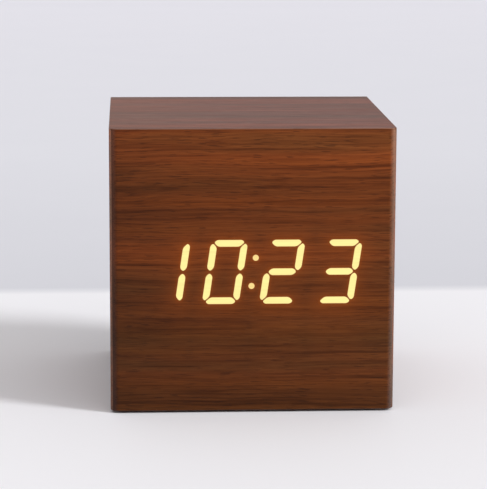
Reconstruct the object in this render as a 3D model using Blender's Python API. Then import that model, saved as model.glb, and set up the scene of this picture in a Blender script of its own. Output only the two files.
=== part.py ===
"""A digital alarm clock in a small veneered wooden cube, built the way it comes apart on a bench.

Five mitred boards and a thin front veneer make the cube. Behind the veneer sits a four-digit LED module
on its main board. A moulded panel closes the rear: it carries three push buttons, a USB socket, sound slots
and a battery bay for three AAA cells under a tilting door.

Blender 4.5. Lengths are metres, +Z is up and the display faces -Y. The origin is on the table, under the
middle of the cube. Left and right are as seen from the front. To build it:
blender --background --python part.py
"""

import math

import bmesh
import bpy
from mathutils import Matrix, Vector

MM = 0.001

# ---- Driving sizes ---------------------------------------------------------------------------------------

GAP = 0.3 * MM  # between pieces that rest on, or sit in, one another
CAST_GAP = 0.06 * MM  # between the display's resin and the reflector it is cast into
CUT_PAST = 1.0 * MM  # how far a cutter runs past the face it opens
ROUND_STEPS = 24  # sides of a large round piece
SMALL_ROUND_STEPS = 16  # sides of a small round piece

CASE_WIDTH = 63.0 * MM
CASE_DEPTH = 63.0 * MM
CASE_HEIGHT = 63.0 * MM
BOARD_THICKNESS = 3.0 * MM
VENEER_THICKNESS = 0.6 * MM
REAR_RECESS = 1.0 * MM  # the rear panel sits this far inside the boards' rear edges

FOOT_RADIUS = 4.0 * MM
FOOT_THICKNESS = 1.6 * MM
FOOT_PROUD = 0.5 * MM
FOOT_INSET = 8.0 * MM  # from the cube's sides to a foot's centre

BLOCK_SIZE = 7.0 * MM
BLOCK_LENGTH = 12.0 * MM

PANEL_THICKNESS = 2.0 * MM
SCREW_RADIUS = 1.0 * MM
SCREW_HEAD_RADIUS = 1.9 * MM
SCREW_HEAD_HEIGHT = 1.1 * MM
SCREW_LENGTH = 10.0 * MM
SCREW_CLEARANCE = 0.15 * MM

CELL_COUNT = 3
CELL_RADIUS = 5.25 * MM
CELL_BODY_LENGTH = 43.3 * MM
CELL_NUB_LENGTH = 1.2 * MM
CELL_NUB_RADIUS = 1.9 * MM
CELL_EDGE = 0.4 * MM
CELL_SPACING = 0.6 * MM  # free space between neighbouring cells
CONTACT_THICKNESS = 0.4 * MM
CONTACT_WIDTH = 8.0 * MM
CONTACT_BUMP_HEIGHT = 0.6 * MM
CONTACT_BUMP_RADIUS = 2.0 * MM
CONTACT_TAB_WIDTH = 3.0 * MM
CONTACT_TAB_LENGTH = 2.0 * MM  # how far a solder tab stands out under the tray's floor
SPRING_LENGTH = 4.0 * MM
SPRING_WIRE_RADIUS = 0.35 * MM
SPRING_WIDE_RADIUS = 3.6 * MM
SPRING_NARROW_RADIUS = 2.4 * MM
SPRING_TURNS = 3
SPRING_STEPS = 14  # rings of mesh in one turn
SPRING_SIDES = 6
TRAY_WALL = 1.2 * MM
TRAY_RIB_WIDTH = 0.8 * MM
TRAY_RIB_HEIGHT = 2.5 * MM

DOOR_THICKNESS = 1.8 * MM
DOOR_TAB_WIDTH = 5.0 * MM
DOOR_TAB_OFFSET = 15.0 * MM  # from the door's middle to a tab's middle
DOOR_TAB_THICKNESS = 0.9 * MM
DOOR_TAB_REACH = 1.2 * MM  # how far a tab hooks below the opening's lower edge
DOOR_TAB_RISE = 1.4 * MM
DOOR_TAB_SWING = 0.7 * MM  # room behind a tab for its swing
LATCH_WIDTH = 9.0 * MM
LATCH_LENGTH = 7.0 * MM
LATCH_SLOT = 0.8 * MM
LATCH_WEDGE = 1.2 * MM
SCOOP_RADIUS = 4.5 * MM
SCOOP_DEPTH = 1.0 * MM

BUTTON_RADIUS = 2.6 * MM
BUTTON_PROUD = 0.8 * MM
BUTTON_EDGE = 0.3 * MM
BUTTON_CLEARANCE = 0.25 * MM
BUTTON_FLANGE_RADIUS = 3.4 * MM
BUTTON_FLANGE_THICKNESS = 0.8 * MM
BUTTON_TRAVEL = 0.4 * MM
BUTTON_PITCH = 9.0 * MM
BUTTON_NAMES = ("set", "up", "down")
FIRST_BUTTON_X = 14.0 * MM
SWITCH_SIDE = 6.0 * MM
SWITCH_HEIGHT = 3.5 * MM
PLUNGER_RADIUS = 1.7 * MM
PLUNGER_OUT = 1.5 * MM
PLUNGER_IN = 1.0 * MM
PLUNGER_CLEARANCE = 0.15 * MM

USB_X = -14.0 * MM
USB_HALF_WIDTH = 3.75 * MM
USB_HALF_HEIGHT = 1.4 * MM
USB_WALL = 0.3 * MM
USB_SETBACK = 0.4 * MM  # from the rear panel's outer face to the socket's mouth
USB_DEPTH = 5.0 * MM
TONGUE_HALF_WIDTH = 1.85 * MM
TONGUE_THICKNESS = 0.6 * MM
TONGUE_LENGTH = 3.6 * MM

CIRCUIT_THICKNESS = 1.6 * MM  # of the two glass-fibre boards
REAR_BOARD_HALF_WIDTH = 20.2 * MM
PIN_RADIUS = 0.9 * MM  # of the rear panel's two pins that hold the rear board
PIN_INSET = 1.8 * MM

SLOT_WIDTH = 10.0 * MM
SLOT_HEIGHT = 0.9 * MM
SLOT_PITCH = 1.9 * MM
SLOT_COUNT = 3
MICROPHONE_RADIUS = 3.0 * MM
MICROPHONE_HEIGHT = 2.5 * MM
MICROPHONE_X = -16.0 * MM
PINHOLE_RADIUS = 0.6 * MM

DIGIT_COUNT = 4
DIGIT_PITCH = 12.7 * MM
COLUMN = 3.42 * MM  # from a digit's middle to the centre-line of its upright bars
ROW = 6.365 * MM  # from a digit's middle to the centre-line of its top bar
BAR_WIDTH = 1.6 * MM
BAR_GAP = 0.24 * MM
BAR_CORNER = 0.2 * MM  # how far a digit's outer corners reach past the crossing of the centre-lines
SLANT = 0.147  # sideways lean of a digit for each unit of height
COLON_RADIUS = 0.68 * MM
COLON_RISE = 3.15 * MM
COLON_STEPS = 12
DISPLAY_X = 0.2 * MM  # the module's middle lies this far right of the cube's
MODULE_MARGIN = 2.335 * MM  # above and below the digits
MODULE_TRIM = 0.5 * MM  # by which the module is narrower than its digits' pitches together
MODULE_DEPTH = 8.0 * MM
MODULE_FACE = 4.0 * MM  # depth of the light channels
MODULE_WALL = 1.0 * MM
RESIN_THICKNESS = 1.4 * MM
LED_BOARD_THICKNESS = 1.0 * MM
LEAD_RADIUS = 0.3 * MM
LEAD_PITCH = 2.54 * MM
LEADS_IN_ROW = 6
LEAD_ROW_INSET = 2.5 * MM  # from the module's top and bottom
LEAD_STEPS = 8

MAIN_BOARD_WIDTH = 52.0 * MM
MAIN_BOARD_MARGIN = 4.0 * MM  # above and below the rails
RAIL_LENGTH = 40.0 * MM
RAIL_WIDTH = 4.0 * MM
RAIL_SPACE = 2.5 * MM  # between the module and a rail
BOARD_SCREW_HEAD_HEIGHT = 1.3 * MM
BOARD_SCREW_LENGTH = 5.5 * MM

CHIP_LENGTH = 17.9 * MM
CHIP_WIDTH = 7.5 * MM
CHIP_HEIGHT = 2.3 * MM
CHIP_LEADS = 14
CHIP_LEAD_PITCH = 1.27 * MM
CHIP_LEAD_WIDTH = 0.45 * MM
CHIP_LEAD_REACH = 1.4 * MM
CHIP_LEAD_THICKNESS = 0.4 * MM
CHIP_AT = (-6.0 * MM, 4.0 * MM)  # x, and height above the display's middle
CRYSTAL_RADIUS = 1.0 * MM
CRYSTAL_LENGTH = 6.0 * MM
CRYSTAL_AT = (-6.0 * MM, -4.0 * MM)
BUZZER_RADIUS = 6.0 * MM
BUZZER_HEIGHT = 8.5 * MM
BUZZER_HOLE_RADIUS = 1.2 * MM
BUZZER_HOLE_DEPTH = 3.0 * MM
BUZZER_AT = (15.0 * MM, -9.0 * MM)
CAPACITOR_RADIUS = 2.5 * MM
CAPACITOR_HEIGHT = 7.0 * MM
CAPACITOR_EDGE = 0.4 * MM
CAPACITOR_AT = (16.0 * MM, 9.0 * MM)

RIBBON_WIDTH = 7.6 * MM
RIBBON_THICKNESS = 0.9 * MM
RIBBON_SAG = 3.0 * MM
RIBBON_STEPS = 14
RIBBON_RISE = 17.0 * MM  # from the display's middle height to the ribbon's end on the main board
WIRE_RADIUS = 0.65 * MM
WIRE_STEPS = 14
WIRE_REACH = 14.0 * MM  # how far a wire runs straight off its solder joint
WIRE_HALF_SPREAD = 20.0 * MM  # from the middle to a wire's joint on the main board

# ---- Places worked out from the sizes --------------------------------------------------------------------

HALF_WIDTH = CASE_WIDTH / 2
FRONT_Y = -CASE_DEPTH / 2
REAR_Y = CASE_DEPTH / 2
BASE_Z = FOOT_PROUD
TOP_Z = BASE_Z + CASE_HEIGHT
MIDDLE_Z = (BASE_Z + TOP_Z) / 2

VENEER_BACK_Y = FRONT_Y + VENEER_THICKNESS
BOARD_FRONT_Y = VENEER_BACK_Y + GAP
BOARD_BACK_Y = BOARD_FRONT_Y + BOARD_THICKNESS
INNER_HALF_WIDTH = HALF_WIDTH - BOARD_THICKNESS
INNER_LOW_Z = BASE_Z + BOARD_THICKNESS
INNER_HIGH_Z = TOP_Z - BOARD_THICKNESS

PANEL_OUT_Y = REAR_Y - REAR_RECESS
PANEL_IN_Y = PANEL_OUT_Y - PANEL_THICKNESS
PANEL_HALF_WIDTH = INNER_HALF_WIDTH - GAP
PANEL_LOW_Z = INNER_LOW_Z + GAP
PANEL_HIGH_Z = INNER_HIGH_Z - GAP
SCREW_X = PANEL_HALF_WIDTH - BLOCK_SIZE / 2
SCREW_LOW_Z = PANEL_LOW_Z + BLOCK_SIZE / 2
SCREW_HIGH_Z = PANEL_HIGH_Z - BLOCK_SIZE / 2

CELL_PITCH = 2 * CELL_RADIUS + CELL_SPACING
CELL_LENGTH = CELL_BODY_LENGTH + CELL_NUB_LENGTH
BAY_HEIGHT = CELL_COUNT * CELL_PITCH + CELL_SPACING
BAY_LENGTH = 2 * CONTACT_THICKNESS + SPRING_LENGTH + CELL_LENGTH + CONTACT_BUMP_HEIGHT + 5 * GAP
BAY_HALF = BAY_LENGTH / 2
BAY_LOW_Z = PANEL_LOW_Z + BLOCK_SIZE + GAP + TRAY_WALL
BAY_HIGH_Z = BAY_LOW_Z + BAY_HEIGHT
BAY_MIDDLE_Z = (BAY_LOW_Z + BAY_HIGH_Z) / 2
CELL_Y = PANEL_OUT_Y - DOOR_THICKNESS - 2 * GAP - CELL_RADIUS
BAY_FLOOR_Y = CELL_Y - CELL_RADIUS - GAP
TRAY_UNDER_Y = BAY_FLOOR_Y - TRAY_WALL
DOOR_IN_Y = PANEL_OUT_Y - DOOR_THICKNESS
TRAY_RIM_Y = min(PANEL_IN_Y, DOOR_IN_Y) - GAP
HINGE_Y = PANEL_OUT_Y
HINGE_Z = BAY_LOW_Z + GAP / 2

FLANGE_IN_Y = PANEL_IN_Y - GAP - BUTTON_FLANGE_THICKNESS
PLUNGER_TOP_Y = FLANGE_IN_Y - GAP
SWITCH_TOP_Y = PLUNGER_TOP_Y - PLUNGER_OUT
SWITCH_BASE_Y = SWITCH_TOP_Y - SWITCH_HEIGHT
REAR_BOARD_OUT_Y = SWITCH_BASE_Y - GAP
REAR_BOARD_IN_Y = REAR_BOARD_OUT_Y - CIRCUIT_THICKNESS
REAR_BOARD_LOW_Z = BAY_HIGH_Z + TRAY_WALL + GAP
REAR_BOARD_HIGH_Z = PANEL_HIGH_Z - GAP
BUTTON_Z = (REAR_BOARD_LOW_Z + REAR_BOARD_HIGH_Z) / 2 + GAP

MODULE_WIDTH = DIGIT_COUNT * DIGIT_PITCH - MODULE_TRIM
MODULE_HEIGHT = 2 * (ROW + BAR_WIDTH / 2 + MODULE_MARGIN)
MODULE_BACK_Y = BOARD_FRONT_Y + MODULE_DEPTH
CHANNEL_BACK_Y = BOARD_FRONT_Y + MODULE_FACE
RESIN_FRONT_Y = CHANNEL_BACK_Y + CAST_GAP
RESIN_BACK_Y = RESIN_FRONT_Y + RESIN_THICKNESS
LED_BOARD_FRONT_Y = RESIN_BACK_Y + GAP
LED_BOARD_BACK_Y = LED_BOARD_FRONT_Y + LED_BOARD_THICKNESS
LEAD_ROW_HALF = MODULE_HEIGHT / 2 - LEAD_ROW_INSET
RAIL_OFFSET = MODULE_HEIGHT / 2 + RAIL_SPACE + RAIL_WIDTH / 2
MAIN_BOARD_HEIGHT = 2 * (RAIL_OFFSET + RAIL_WIDTH / 2 + MAIN_BOARD_MARGIN)
MAIN_BOARD_FRONT_Y = MODULE_BACK_Y + GAP
MAIN_BOARD_BACK_Y = MAIN_BOARD_FRONT_Y + CIRCUIT_THICKNESS
PART_SEAT_Y = MAIN_BOARD_BACK_Y + GAP

# ---- Making objects --------------------------------------------------------------------------------------


def clear_scene():
    """Removes whatever the scene holds."""
    for obj in list(bpy.data.objects):
        bpy.data.objects.remove(obj, do_unlink=True)


def make_material(name, colour, roughness, metallic=0.0):
    """A Principled material of one linear colour."""
    material = bpy.data.materials.new(name)
    material.use_nodes = True
    shader = material.node_tree.nodes["Principled BSDF"]
    shader.inputs["Base Color"].default_value = (*colour, 1.0)
    shader.inputs["Roughness"].default_value = roughness
    shader.inputs["Metallic"].default_value = metallic
    return material


def make_group(name, parent=None):
    """An empty that gathers the pieces of one sub-assembly."""
    group = bpy.data.objects.new(name, None)
    bpy.context.scene.collection.objects.link(group)
    group.parent = parent
    return group


def add_piece(name, bm, material, parent, at=(0, 0, 0), turn=(0, 0, 0), smooth=False):
    """Turns a bmesh, which holds the shape about its own origin, into an object placed at `at`."""
    bmesh.ops.recalc_face_normals(bm, faces=bm.faces)
    mesh = bpy.data.meshes.new(name)
    bm.to_mesh(mesh)
    bm.free()
    mesh.materials.append(material)
    if smooth:
        mesh.shade_smooth()
        mesh.set_sharp_from_angle(angle=math.radians(35))
    obj = bpy.data.objects.new(name, mesh)
    bpy.context.scene.collection.objects.link(obj)
    obj.parent = parent
    obj.location = at
    obj.rotation_euler = turn
    return obj


def box_bm(low, high):
    """A box between two corners."""
    low, high = Vector(low), Vector(high)
    bm = bmesh.new()
    bmesh.ops.create_cube(bm, size=1.0)
    size = high - low
    bmesh.ops.scale(bm, verts=bm.verts, vec=size)
    bmesh.ops.translate(bm, verts=bm.verts, vec=(low + high) / 2)
    return bm


def add_box(name, low, high, material, parent):
    """A box between two corners, with its origin at its middle."""
    middle = (Vector(low) + Vector(high)) / 2
    return add_piece(name, box_bm(Vector(low) - middle, Vector(high) - middle), material, parent, middle)


def prism_into(bm, outline, axis, start, end):
    """Adds a prism to bm: an outline in the plane across an axis, from start to end along that axis.

    Across X an outline point is (y, z), across Y it is (x, z) and across Z it is (x, y).
    """
    places = {"X": lambda u, v: (start, u, v), "Y": lambda u, v: (u, start, v), "Z": lambda u, v: (u, v, start)}
    face = bm.faces.new([bm.verts.new(places[axis](u, v)) for u, v in outline])
    grown = bmesh.ops.extrude_face_region(bm, geom=[face])["geom"]
    along = Vector([end - start if axis == letter else 0 for letter in "XYZ"])
    bmesh.ops.translate(bm, verts=[g for g in grown if isinstance(g, bmesh.types.BMVert)], vec=along)


def prism_bm(outline, axis, start, end):
    """One prism, as prism_into makes it."""
    bm = bmesh.new()
    prism_into(bm, outline, axis, start, end)
    return bm


def turned_into(bm, profile, axis_at, direction, steps):
    """Adds a turned solid to bm. The profile is (radius, distance) points that start and end on the axis."""
    spin = Vector((0, 0, 1)).rotation_difference(Vector(direction)).to_matrix()
    rings = []
    for radius, along in profile:
        turns = [math.tau * k / steps for k in range(steps)] if radius else [0]
        points = [Vector((radius * math.cos(turn), radius * math.sin(turn), along)) for turn in turns]
        rings.append([bm.verts.new(Vector(axis_at) + spin @ point) for point in points])
    for first, second in zip(rings, rings[1:]):
        for k in range(steps):
            j = k + 1
            below = (first[k % len(first)], first[j % len(first)])
            above = (second[j % len(second)], second[k % len(second)])
            bm.faces.new(dict.fromkeys(below + above))


def turned_bm(profile, direction, steps, axis_at=(0, 0, 0)):
    """One turned shape, as turned_into makes it."""
    bm = bmesh.new()
    turned_into(bm, profile, axis_at, direction, steps)
    return bm


def rod_profile(radius, start, end):
    """The profile of a plain rod."""
    return [(0, start), (radius, start), (radius, end), (0, end)]


def cut(target, name, bm):
    """Takes the shape in bm away from the target with a Boolean."""
    combine(target, name, bm, "DIFFERENCE")


def fuse(target, name, bm):
    """Joins the shape in bm to the target with a Boolean, as one moulding."""
    combine(target, name, bm, "UNION")


def combine(target, name, bm, operation):
    """Adds a Boolean with a helper object, which is in the same place as the target and is never rendered."""
    helper = add_piece(f"{target.name}_{name}", bm, target.data.materials[0], target.parent)
    helper.hide_render = True
    helper.display_type = "WIRE"
    boolean = target.modifiers.new(name, "BOOLEAN")
    boolean.operation = operation
    boolean.object = helper
    boolean.solver = "EXACT"


def frustum_bm(outer, inner):
    """A slab between two four-cornered faces, given corner by corner in the same order."""
    bm = bmesh.new()
    bottom = [bm.verts.new(p) for p in outer]
    top = [bm.verts.new(p) for p in inner]
    bm.faces.new(bottom)
    bm.faces.new(top)
    for i in range(4):
        j = (i + 1) % 4
        bm.faces.new((bottom[i], bottom[j], top[j], top[i]))
    return bm


# ---- Case ------------------------------------------------------------------------------------------------


def build_case(group, wood, veneer):
    """Five boards mitred where they meet, and the veneer that the digits shine through."""
    inset = GAP / math.sqrt(2)  # both boards of a mitre stand back by this, which leaves the gap between them
    out_x, in_x = HALF_WIDTH - inset, INNER_HALF_WIDTH - inset
    out_y, in_y = BOARD_FRONT_Y + inset, BOARD_BACK_Y + inset
    out_low, in_low = BASE_Z + inset, INNER_LOW_Z + inset
    out_high, in_high = TOP_Z - inset, INNER_HIGH_Z - inset

    for name, out_z, in_z in (("top_board", TOP_Z, INNER_HIGH_Z), ("bottom_board", BASE_Z, INNER_LOW_Z)):
        outer = [(-out_x, out_y, out_z), (out_x, out_y, out_z), (out_x, REAR_Y, out_z), (-out_x, REAR_Y, out_z)]
        inner = [(-in_x, in_y, in_z), (in_x, in_y, in_z), (in_x, REAR_Y, in_z), (-in_x, REAR_Y, in_z)]
        board = add_piece(name, frustum_bm(outer, inner), wood, group)
        if name == "bottom_board":
            cut(board, "foot_pockets", foot_pockets_bm())

    for name, side in (("left_board", -1), ("right_board", 1)):
        out_wall, in_wall = side * HALF_WIDTH, side * INNER_HALF_WIDTH
        outer = [
            (out_wall, out_y, out_low),
            (out_wall, REAR_Y, out_low),
            (out_wall, REAR_Y, out_high),
            (out_wall, out_y, out_high),
        ]
        inner = [
            (in_wall, in_y, in_low),
            (in_wall, REAR_Y, in_low),
            (in_wall, REAR_Y, in_high),
            (in_wall, in_y, in_high),
        ]
        add_piece(name, frustum_bm(outer, inner), wood, group)

    outer = [(x, BOARD_FRONT_Y, z) for x, z in corners(out_x, out_low, out_high)]
    inner = [(x, BOARD_BACK_Y, z) for x, z in corners(in_x, in_low, in_high)]
    front = add_piece("front_board", frustum_bm(outer, inner), wood, group)
    half_window = MODULE_WIDTH / 2 + GAP
    window = box_bm(
        (DISPLAY_X - half_window, BOARD_FRONT_Y - CUT_PAST, MIDDLE_Z - MODULE_HEIGHT / 2 - GAP),
        (DISPLAY_X + half_window, BOARD_BACK_Y + CUT_PAST, MIDDLE_Z + MODULE_HEIGHT / 2 + GAP),
    )
    cut(front, "display_window", window)
    add_box("front_veneer", (-HALF_WIDTH, FRONT_Y, BASE_Z), (HALF_WIDTH, VENEER_BACK_Y, TOP_Z), veneer, group)


def corners(half_width, low_z, high_z):
    """The four (x, z) corners of an upright rectangle."""
    return [(-half_width, low_z), (half_width, low_z), (half_width, high_z), (-half_width, high_z)]


def foot_places():
    """The name and the (x, y) of each foot."""
    reach_x, reach_y = HALF_WIDTH - FOOT_INSET, REAR_Y - FOOT_INSET
    return [
        (f"foot_{end}_{hand}", side * reach_x, way * reach_y)
        for end, way in (("front", -1), ("rear", 1))
        for hand, side in (("left", -1), ("right", 1))
    ]


def foot_pockets_bm():
    """The shallow round pockets that the feet are glued into."""
    bm = bmesh.new()
    for _, x, y in foot_places():
        pocket = rod_profile(FOOT_RADIUS + GAP, -CUT_PAST, FOOT_THICKNESS + GAP)
        turned_into(bm, pocket, (x, y, 0), (0, 0, 1), ROUND_STEPS)
    return bm


def build_feet(group, rubber):
    """Four rubber pads."""
    for name, x, y in foot_places():
        pad = turned_bm(rod_profile(FOOT_RADIUS, 0, FOOT_THICKNESS), (0, 0, 1), ROUND_STEPS)
        add_piece(name, pad, rubber, group, (x, y, 0), smooth=True)


def screw_places():
    """The name ending, the side (-1 or 1) and the height of each rear panel screw."""
    return [
        (f"{level}_{hand}", side, z)
        for level, z in (("lower", SCREW_LOW_Z), ("upper", SCREW_HIGH_Z))
        for hand, side in (("left", -1), ("right", 1))
    ]


def build_corner_blocks(group, wood):
    """The glued blocks that the rear panel is screwed to."""
    for ending, side, z in screw_places():
        x, half = side * SCREW_X, BLOCK_SIZE / 2
        rear = PANEL_IN_Y - GAP
        low, high = (x - half, rear - BLOCK_LENGTH, z - half), (x + half, rear, z + half)
        block = add_box(f"corner_block_{ending}", low, high, wood, group)
        pilot = rod_profile(SCREW_RADIUS + SCREW_CLEARANCE, -CUT_PAST, SCREW_LENGTH)
        cut(block, "pilot_hole", turned_bm(pilot, (0, -1, 0), SMALL_ROUND_STEPS, (x, rear, z)))


# ---- Rear panel ------------------------------------------------------------------------------------------


def button_places():
    """The name and the x of each button, from the one at the right."""
    return [(name, FIRST_BUTTON_X - i * BUTTON_PITCH) for i, name in enumerate(BUTTON_NAMES)]


def board_pin_places():
    """The (x, z) of the two pins that carry the rear board, near its opposite corners."""
    reach = REAR_BOARD_HALF_WIDTH - PIN_INSET
    return [(reach, REAR_BOARD_HIGH_Z - PIN_INSET), (-reach, REAR_BOARD_LOW_Z + PIN_INSET)]


def usb_outline(grow=0.0):
    """The socket's outline, (x, z) points, flat on top and narrower below."""
    half_width, half_height = USB_HALF_WIDTH + grow, USB_HALF_HEIGHT + grow
    shoulder, foot = -0.2 * USB_HALF_HEIGHT, half_width - 0.7 * USB_HALF_HEIGHT
    points = [(half_width, half_height), (-half_width, half_height), (-half_width, shoulder)]
    points += [(-foot, -half_height), (foot, -half_height), (half_width, shoulder)]
    return [(USB_X + x, BUTTON_Z + z) for x, z in points]


def build_rear_panel(group, plastic):
    """The moulded panel, with every opening that the pieces behind it need."""
    panel = add_box(
        "rear_panel",
        (-PANEL_HALF_WIDTH, PANEL_IN_Y, PANEL_LOW_Z),
        (PANEL_HALF_WIDTH, PANEL_OUT_Y, PANEL_HIGH_Z),
        plastic,
        group,
    )
    pins = bmesh.new()
    for x, z in board_pin_places():
        reach = PANEL_IN_Y - REAR_BOARD_IN_Y + GAP
        profile = rod_profile(PIN_RADIUS, -PANEL_THICKNESS / 2, reach)
        turned_into(pins, profile, (x, PANEL_IN_Y, z), (0, -1, 0), SMALL_ROUND_STEPS)
    fuse(panel, "board_pins", pins)

    before, behind = PANEL_IN_Y - CUT_PAST, PANEL_OUT_Y + CUT_PAST
    cut(panel, "battery_opening", box_bm((-BAY_HALF, before, BAY_LOW_Z), (BAY_HALF, behind, BAY_HIGH_Z)))

    scoop = rod_profile(SCOOP_RADIUS, -SCOOP_DEPTH, CUT_PAST)
    cut(panel, "finger_scoop", turned_bm(scoop, (0, 1, 0), ROUND_STEPS, (0, PANEL_OUT_Y, BAY_HIGH_Z)))

    holes = bmesh.new()
    for _, x in button_places():
        profile = rod_profile(BUTTON_RADIUS + BUTTON_CLEARANCE, 0, behind - before)
        turned_into(holes, profile, (x, before, BUTTON_Z), (0, 1, 0), ROUND_STEPS)
    pinhole = rod_profile(PINHOLE_RADIUS, 0, behind - before)
    turned_into(holes, pinhole, (MICROPHONE_X, before, SCREW_LOW_Z), (0, 1, 0), SMALL_ROUND_STEPS)
    cut(panel, "round_holes", holes)

    through = bmesh.new()
    prism_into(through, usb_outline(GAP), "Y", before, behind)
    for i in range(SLOT_COUNT):
        z = SCREW_LOW_Z + (i - (SLOT_COUNT - 1) / 2) * SLOT_PITCH
        slot = [(x, z + dz) for x, dz in corners(SLOT_WIDTH / 2, -SLOT_HEIGHT / 2, SLOT_HEIGHT / 2)]
        prism_into(through, slot, "Y", before, behind)
    cut(panel, "socket_and_slots", through)

    sinks = bmesh.new()
    shank, head = SCREW_RADIUS + SCREW_CLEARANCE, SCREW_HEAD_RADIUS + SCREW_CLEARANCE
    sink = [
        (0, -CUT_PAST),
        (head, -CUT_PAST),
        (head, GAP),
        (shank, SCREW_HEAD_HEIGHT + GAP),
        (shank, PANEL_THICKNESS + CUT_PAST),
        (0, PANEL_THICKNESS + CUT_PAST),
    ]
    for _, side, z in screw_places():
        turned_into(sinks, sink, (side * SCREW_X, PANEL_OUT_Y, z), (0, -1, 0), SMALL_ROUND_STEPS)
    cut(panel, "screw_holes", sinks)


def build_panel_screws(group, steel):
    """Countersunk screws, their heads just below the panel's face."""
    profile = [(0, GAP / 2), (SCREW_HEAD_RADIUS, GAP / 2), (SCREW_RADIUS, SCREW_HEAD_HEIGHT)]
    profile += [(SCREW_RADIUS, SCREW_LENGTH - SCREW_RADIUS), (0, SCREW_LENGTH)]
    for ending, side, z in screw_places():
        screw = turned_bm(profile, (0, -1, 0), SMALL_ROUND_STEPS)
        add_piece(f"panel_screw_{ending}", screw, steel, group, (side * SCREW_X, PANEL_OUT_Y, z), smooth=True)


# ---- Battery bay -----------------------------------------------------------------------------------------


def cell_places():
    """For each cell: its number from 1, its height, and the side (-1 or 1) that its negative end is on."""
    lowest = BAY_LOW_Z + CELL_SPACING + CELL_RADIUS
    return [(i + 1, lowest + i * CELL_PITCH, 1 if i % 2 else -1) for i in range(CELL_COUNT)]


def contact_wall_x(side):
    """The x of the face of a contact plate that looks along the bay."""
    return side * (BAY_HALF - GAP - CONTACT_THICKNESS)


def build_tray(group, plastic):
    """The open box that holds the cells, with ribs between them and slots for the solder tabs."""
    tray = add_box(
        "battery_tray",
        (-BAY_HALF - TRAY_WALL, TRAY_UNDER_Y, BAY_LOW_Z - TRAY_WALL),
        (BAY_HALF + TRAY_WALL, TRAY_RIM_Y, BAY_HIGH_Z + TRAY_WALL),
        plastic,
        group,
    )
    cut(tray, "bay", box_bm((-BAY_HALF, BAY_FLOOR_Y, BAY_LOW_Z), (BAY_HALF, TRAY_RIM_Y + CUT_PAST, BAY_HIGH_Z)))

    ribs = bmesh.new()
    reach = BAY_HALF - CONTACT_WIDTH / 2
    for _, z, _ in cell_places()[1:]:
        low_z = z - CELL_PITCH / 2 - TRAY_RIB_WIDTH / 2
        outline = corners(reach, low_z, low_z + TRAY_RIB_WIDTH)
        prism_into(ribs, outline, "Y", BAY_FLOOR_Y - TRAY_WALL / 2, BAY_FLOOR_Y + TRAY_RIB_HEIGHT)
    fuse(tray, "ribs", ribs)

    notches = bmesh.new()
    back = TRAY_RIM_Y - DOOR_TAB_THICKNESS - DOOR_TAB_SWING
    for side in (-1, 1):
        half = DOOR_TAB_WIDTH / 2 + GAP
        low, high = side * DOOR_TAB_OFFSET - half, side * DOOR_TAB_OFFSET + half
        outline = [(low, back), (high, back), (high, TRAY_RIM_Y + CUT_PAST), (low, TRAY_RIM_Y + CUT_PAST)]
        prism_into(notches, outline, "Z", BAY_LOW_Z - TRAY_WALL - CUT_PAST, BAY_LOW_Z + TRAY_WALL / 2)
    cut(tray, "door_tab_notches", notches)

    slots = bmesh.new()
    for side, z in tab_places():
        wall = side * BAY_HALF
        low, high = sorted((wall, wall - side * (2 * GAP + CONTACT_THICKNESS)))
        half = CONTACT_TAB_WIDTH / 2 + GAP
        outline = [(low, z - half), (high, z - half), (high, z + half), (low, z + half)]
        prism_into(slots, outline, "Y", TRAY_UNDER_Y - CUT_PAST, BAY_FLOOR_Y + CUT_PAST)
    cut(tray, "tab_slots", slots)


def tab_places():
    """The side and the height of the two contacts that have a solder tab: the bay's first and last."""
    cells = cell_places()
    return [(cells[0][2], cells[0][1]), (-cells[-1][2], cells[-1][1])]


def build_cells(group, sleeve):
    """AAA cells, each turned end for end from its neighbour."""
    body, inside = CELL_BODY_LENGTH, CELL_RADIUS - CELL_EDGE
    profile = [(0, 0), (inside, 0), (CELL_RADIUS, CELL_EDGE), (CELL_RADIUS, body - CELL_EDGE), (inside, body)]
    profile += [(CELL_NUB_RADIUS, body), (CELL_NUB_RADIUS, CELL_LENGTH), (0, CELL_LENGTH)]
    for number, z, negative in cell_places():
        cell = turned_bm(profile, (-negative, 0, 0), ROUND_STEPS)
        x = contact_wall_x(negative) - negative * (GAP + SPRING_LENGTH + GAP)
        add_piece(f"battery_{number}", cell, sleeve, group, (x, CELL_Y, z), smooth=True)


def spring_bm(direction):
    """A conical coil spring along a direction, its wide end at the origin."""
    bm = bmesh.new()
    spin = Vector((0, 0, 1)).rotation_difference(Vector(direction)).to_matrix()
    count = SPRING_TURNS * SPRING_STEPS
    rise = SPRING_LENGTH - 2 * SPRING_WIRE_RADIUS
    rings = []
    for i in range(count + 1):
        share = i / count
        turn = math.tau * SPRING_TURNS * share
        radius = SPRING_WIDE_RADIUS + (SPRING_NARROW_RADIUS - SPRING_WIDE_RADIUS) * share
        outwards = Vector((math.cos(turn), math.sin(turn), 0))
        centre = outwards * radius + Vector((0, 0, SPRING_WIRE_RADIUS + rise * share))
        ring = []
        for k in range(SPRING_SIDES):
            angle = math.tau * k / SPRING_SIDES
            offset = outwards * math.cos(angle) + Vector((0, 0, math.sin(angle)))
            ring.append(bm.verts.new(spin @ (centre + offset * SPRING_WIRE_RADIUS)))
        rings.append(ring)
    for first, second in zip(rings, rings[1:]):
        for k in range(SPRING_SIDES):
            j = (k + 1) % SPRING_SIDES
            bm.faces.new((first[k], first[j], second[j], second[k]))
    bm.faces.new(rings[0])
    bm.faces.new(rings[-1])
    return bm


def build_springs(group, steel):
    """One spring on the negative end of each cell."""
    for number, z, negative in cell_places():
        at = (contact_wall_x(negative) - negative * GAP, CELL_Y, z)
        add_piece(f"battery_spring_{number}", spring_bm((-negative, 0, 0)), steel, group, at, smooth=True)


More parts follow.
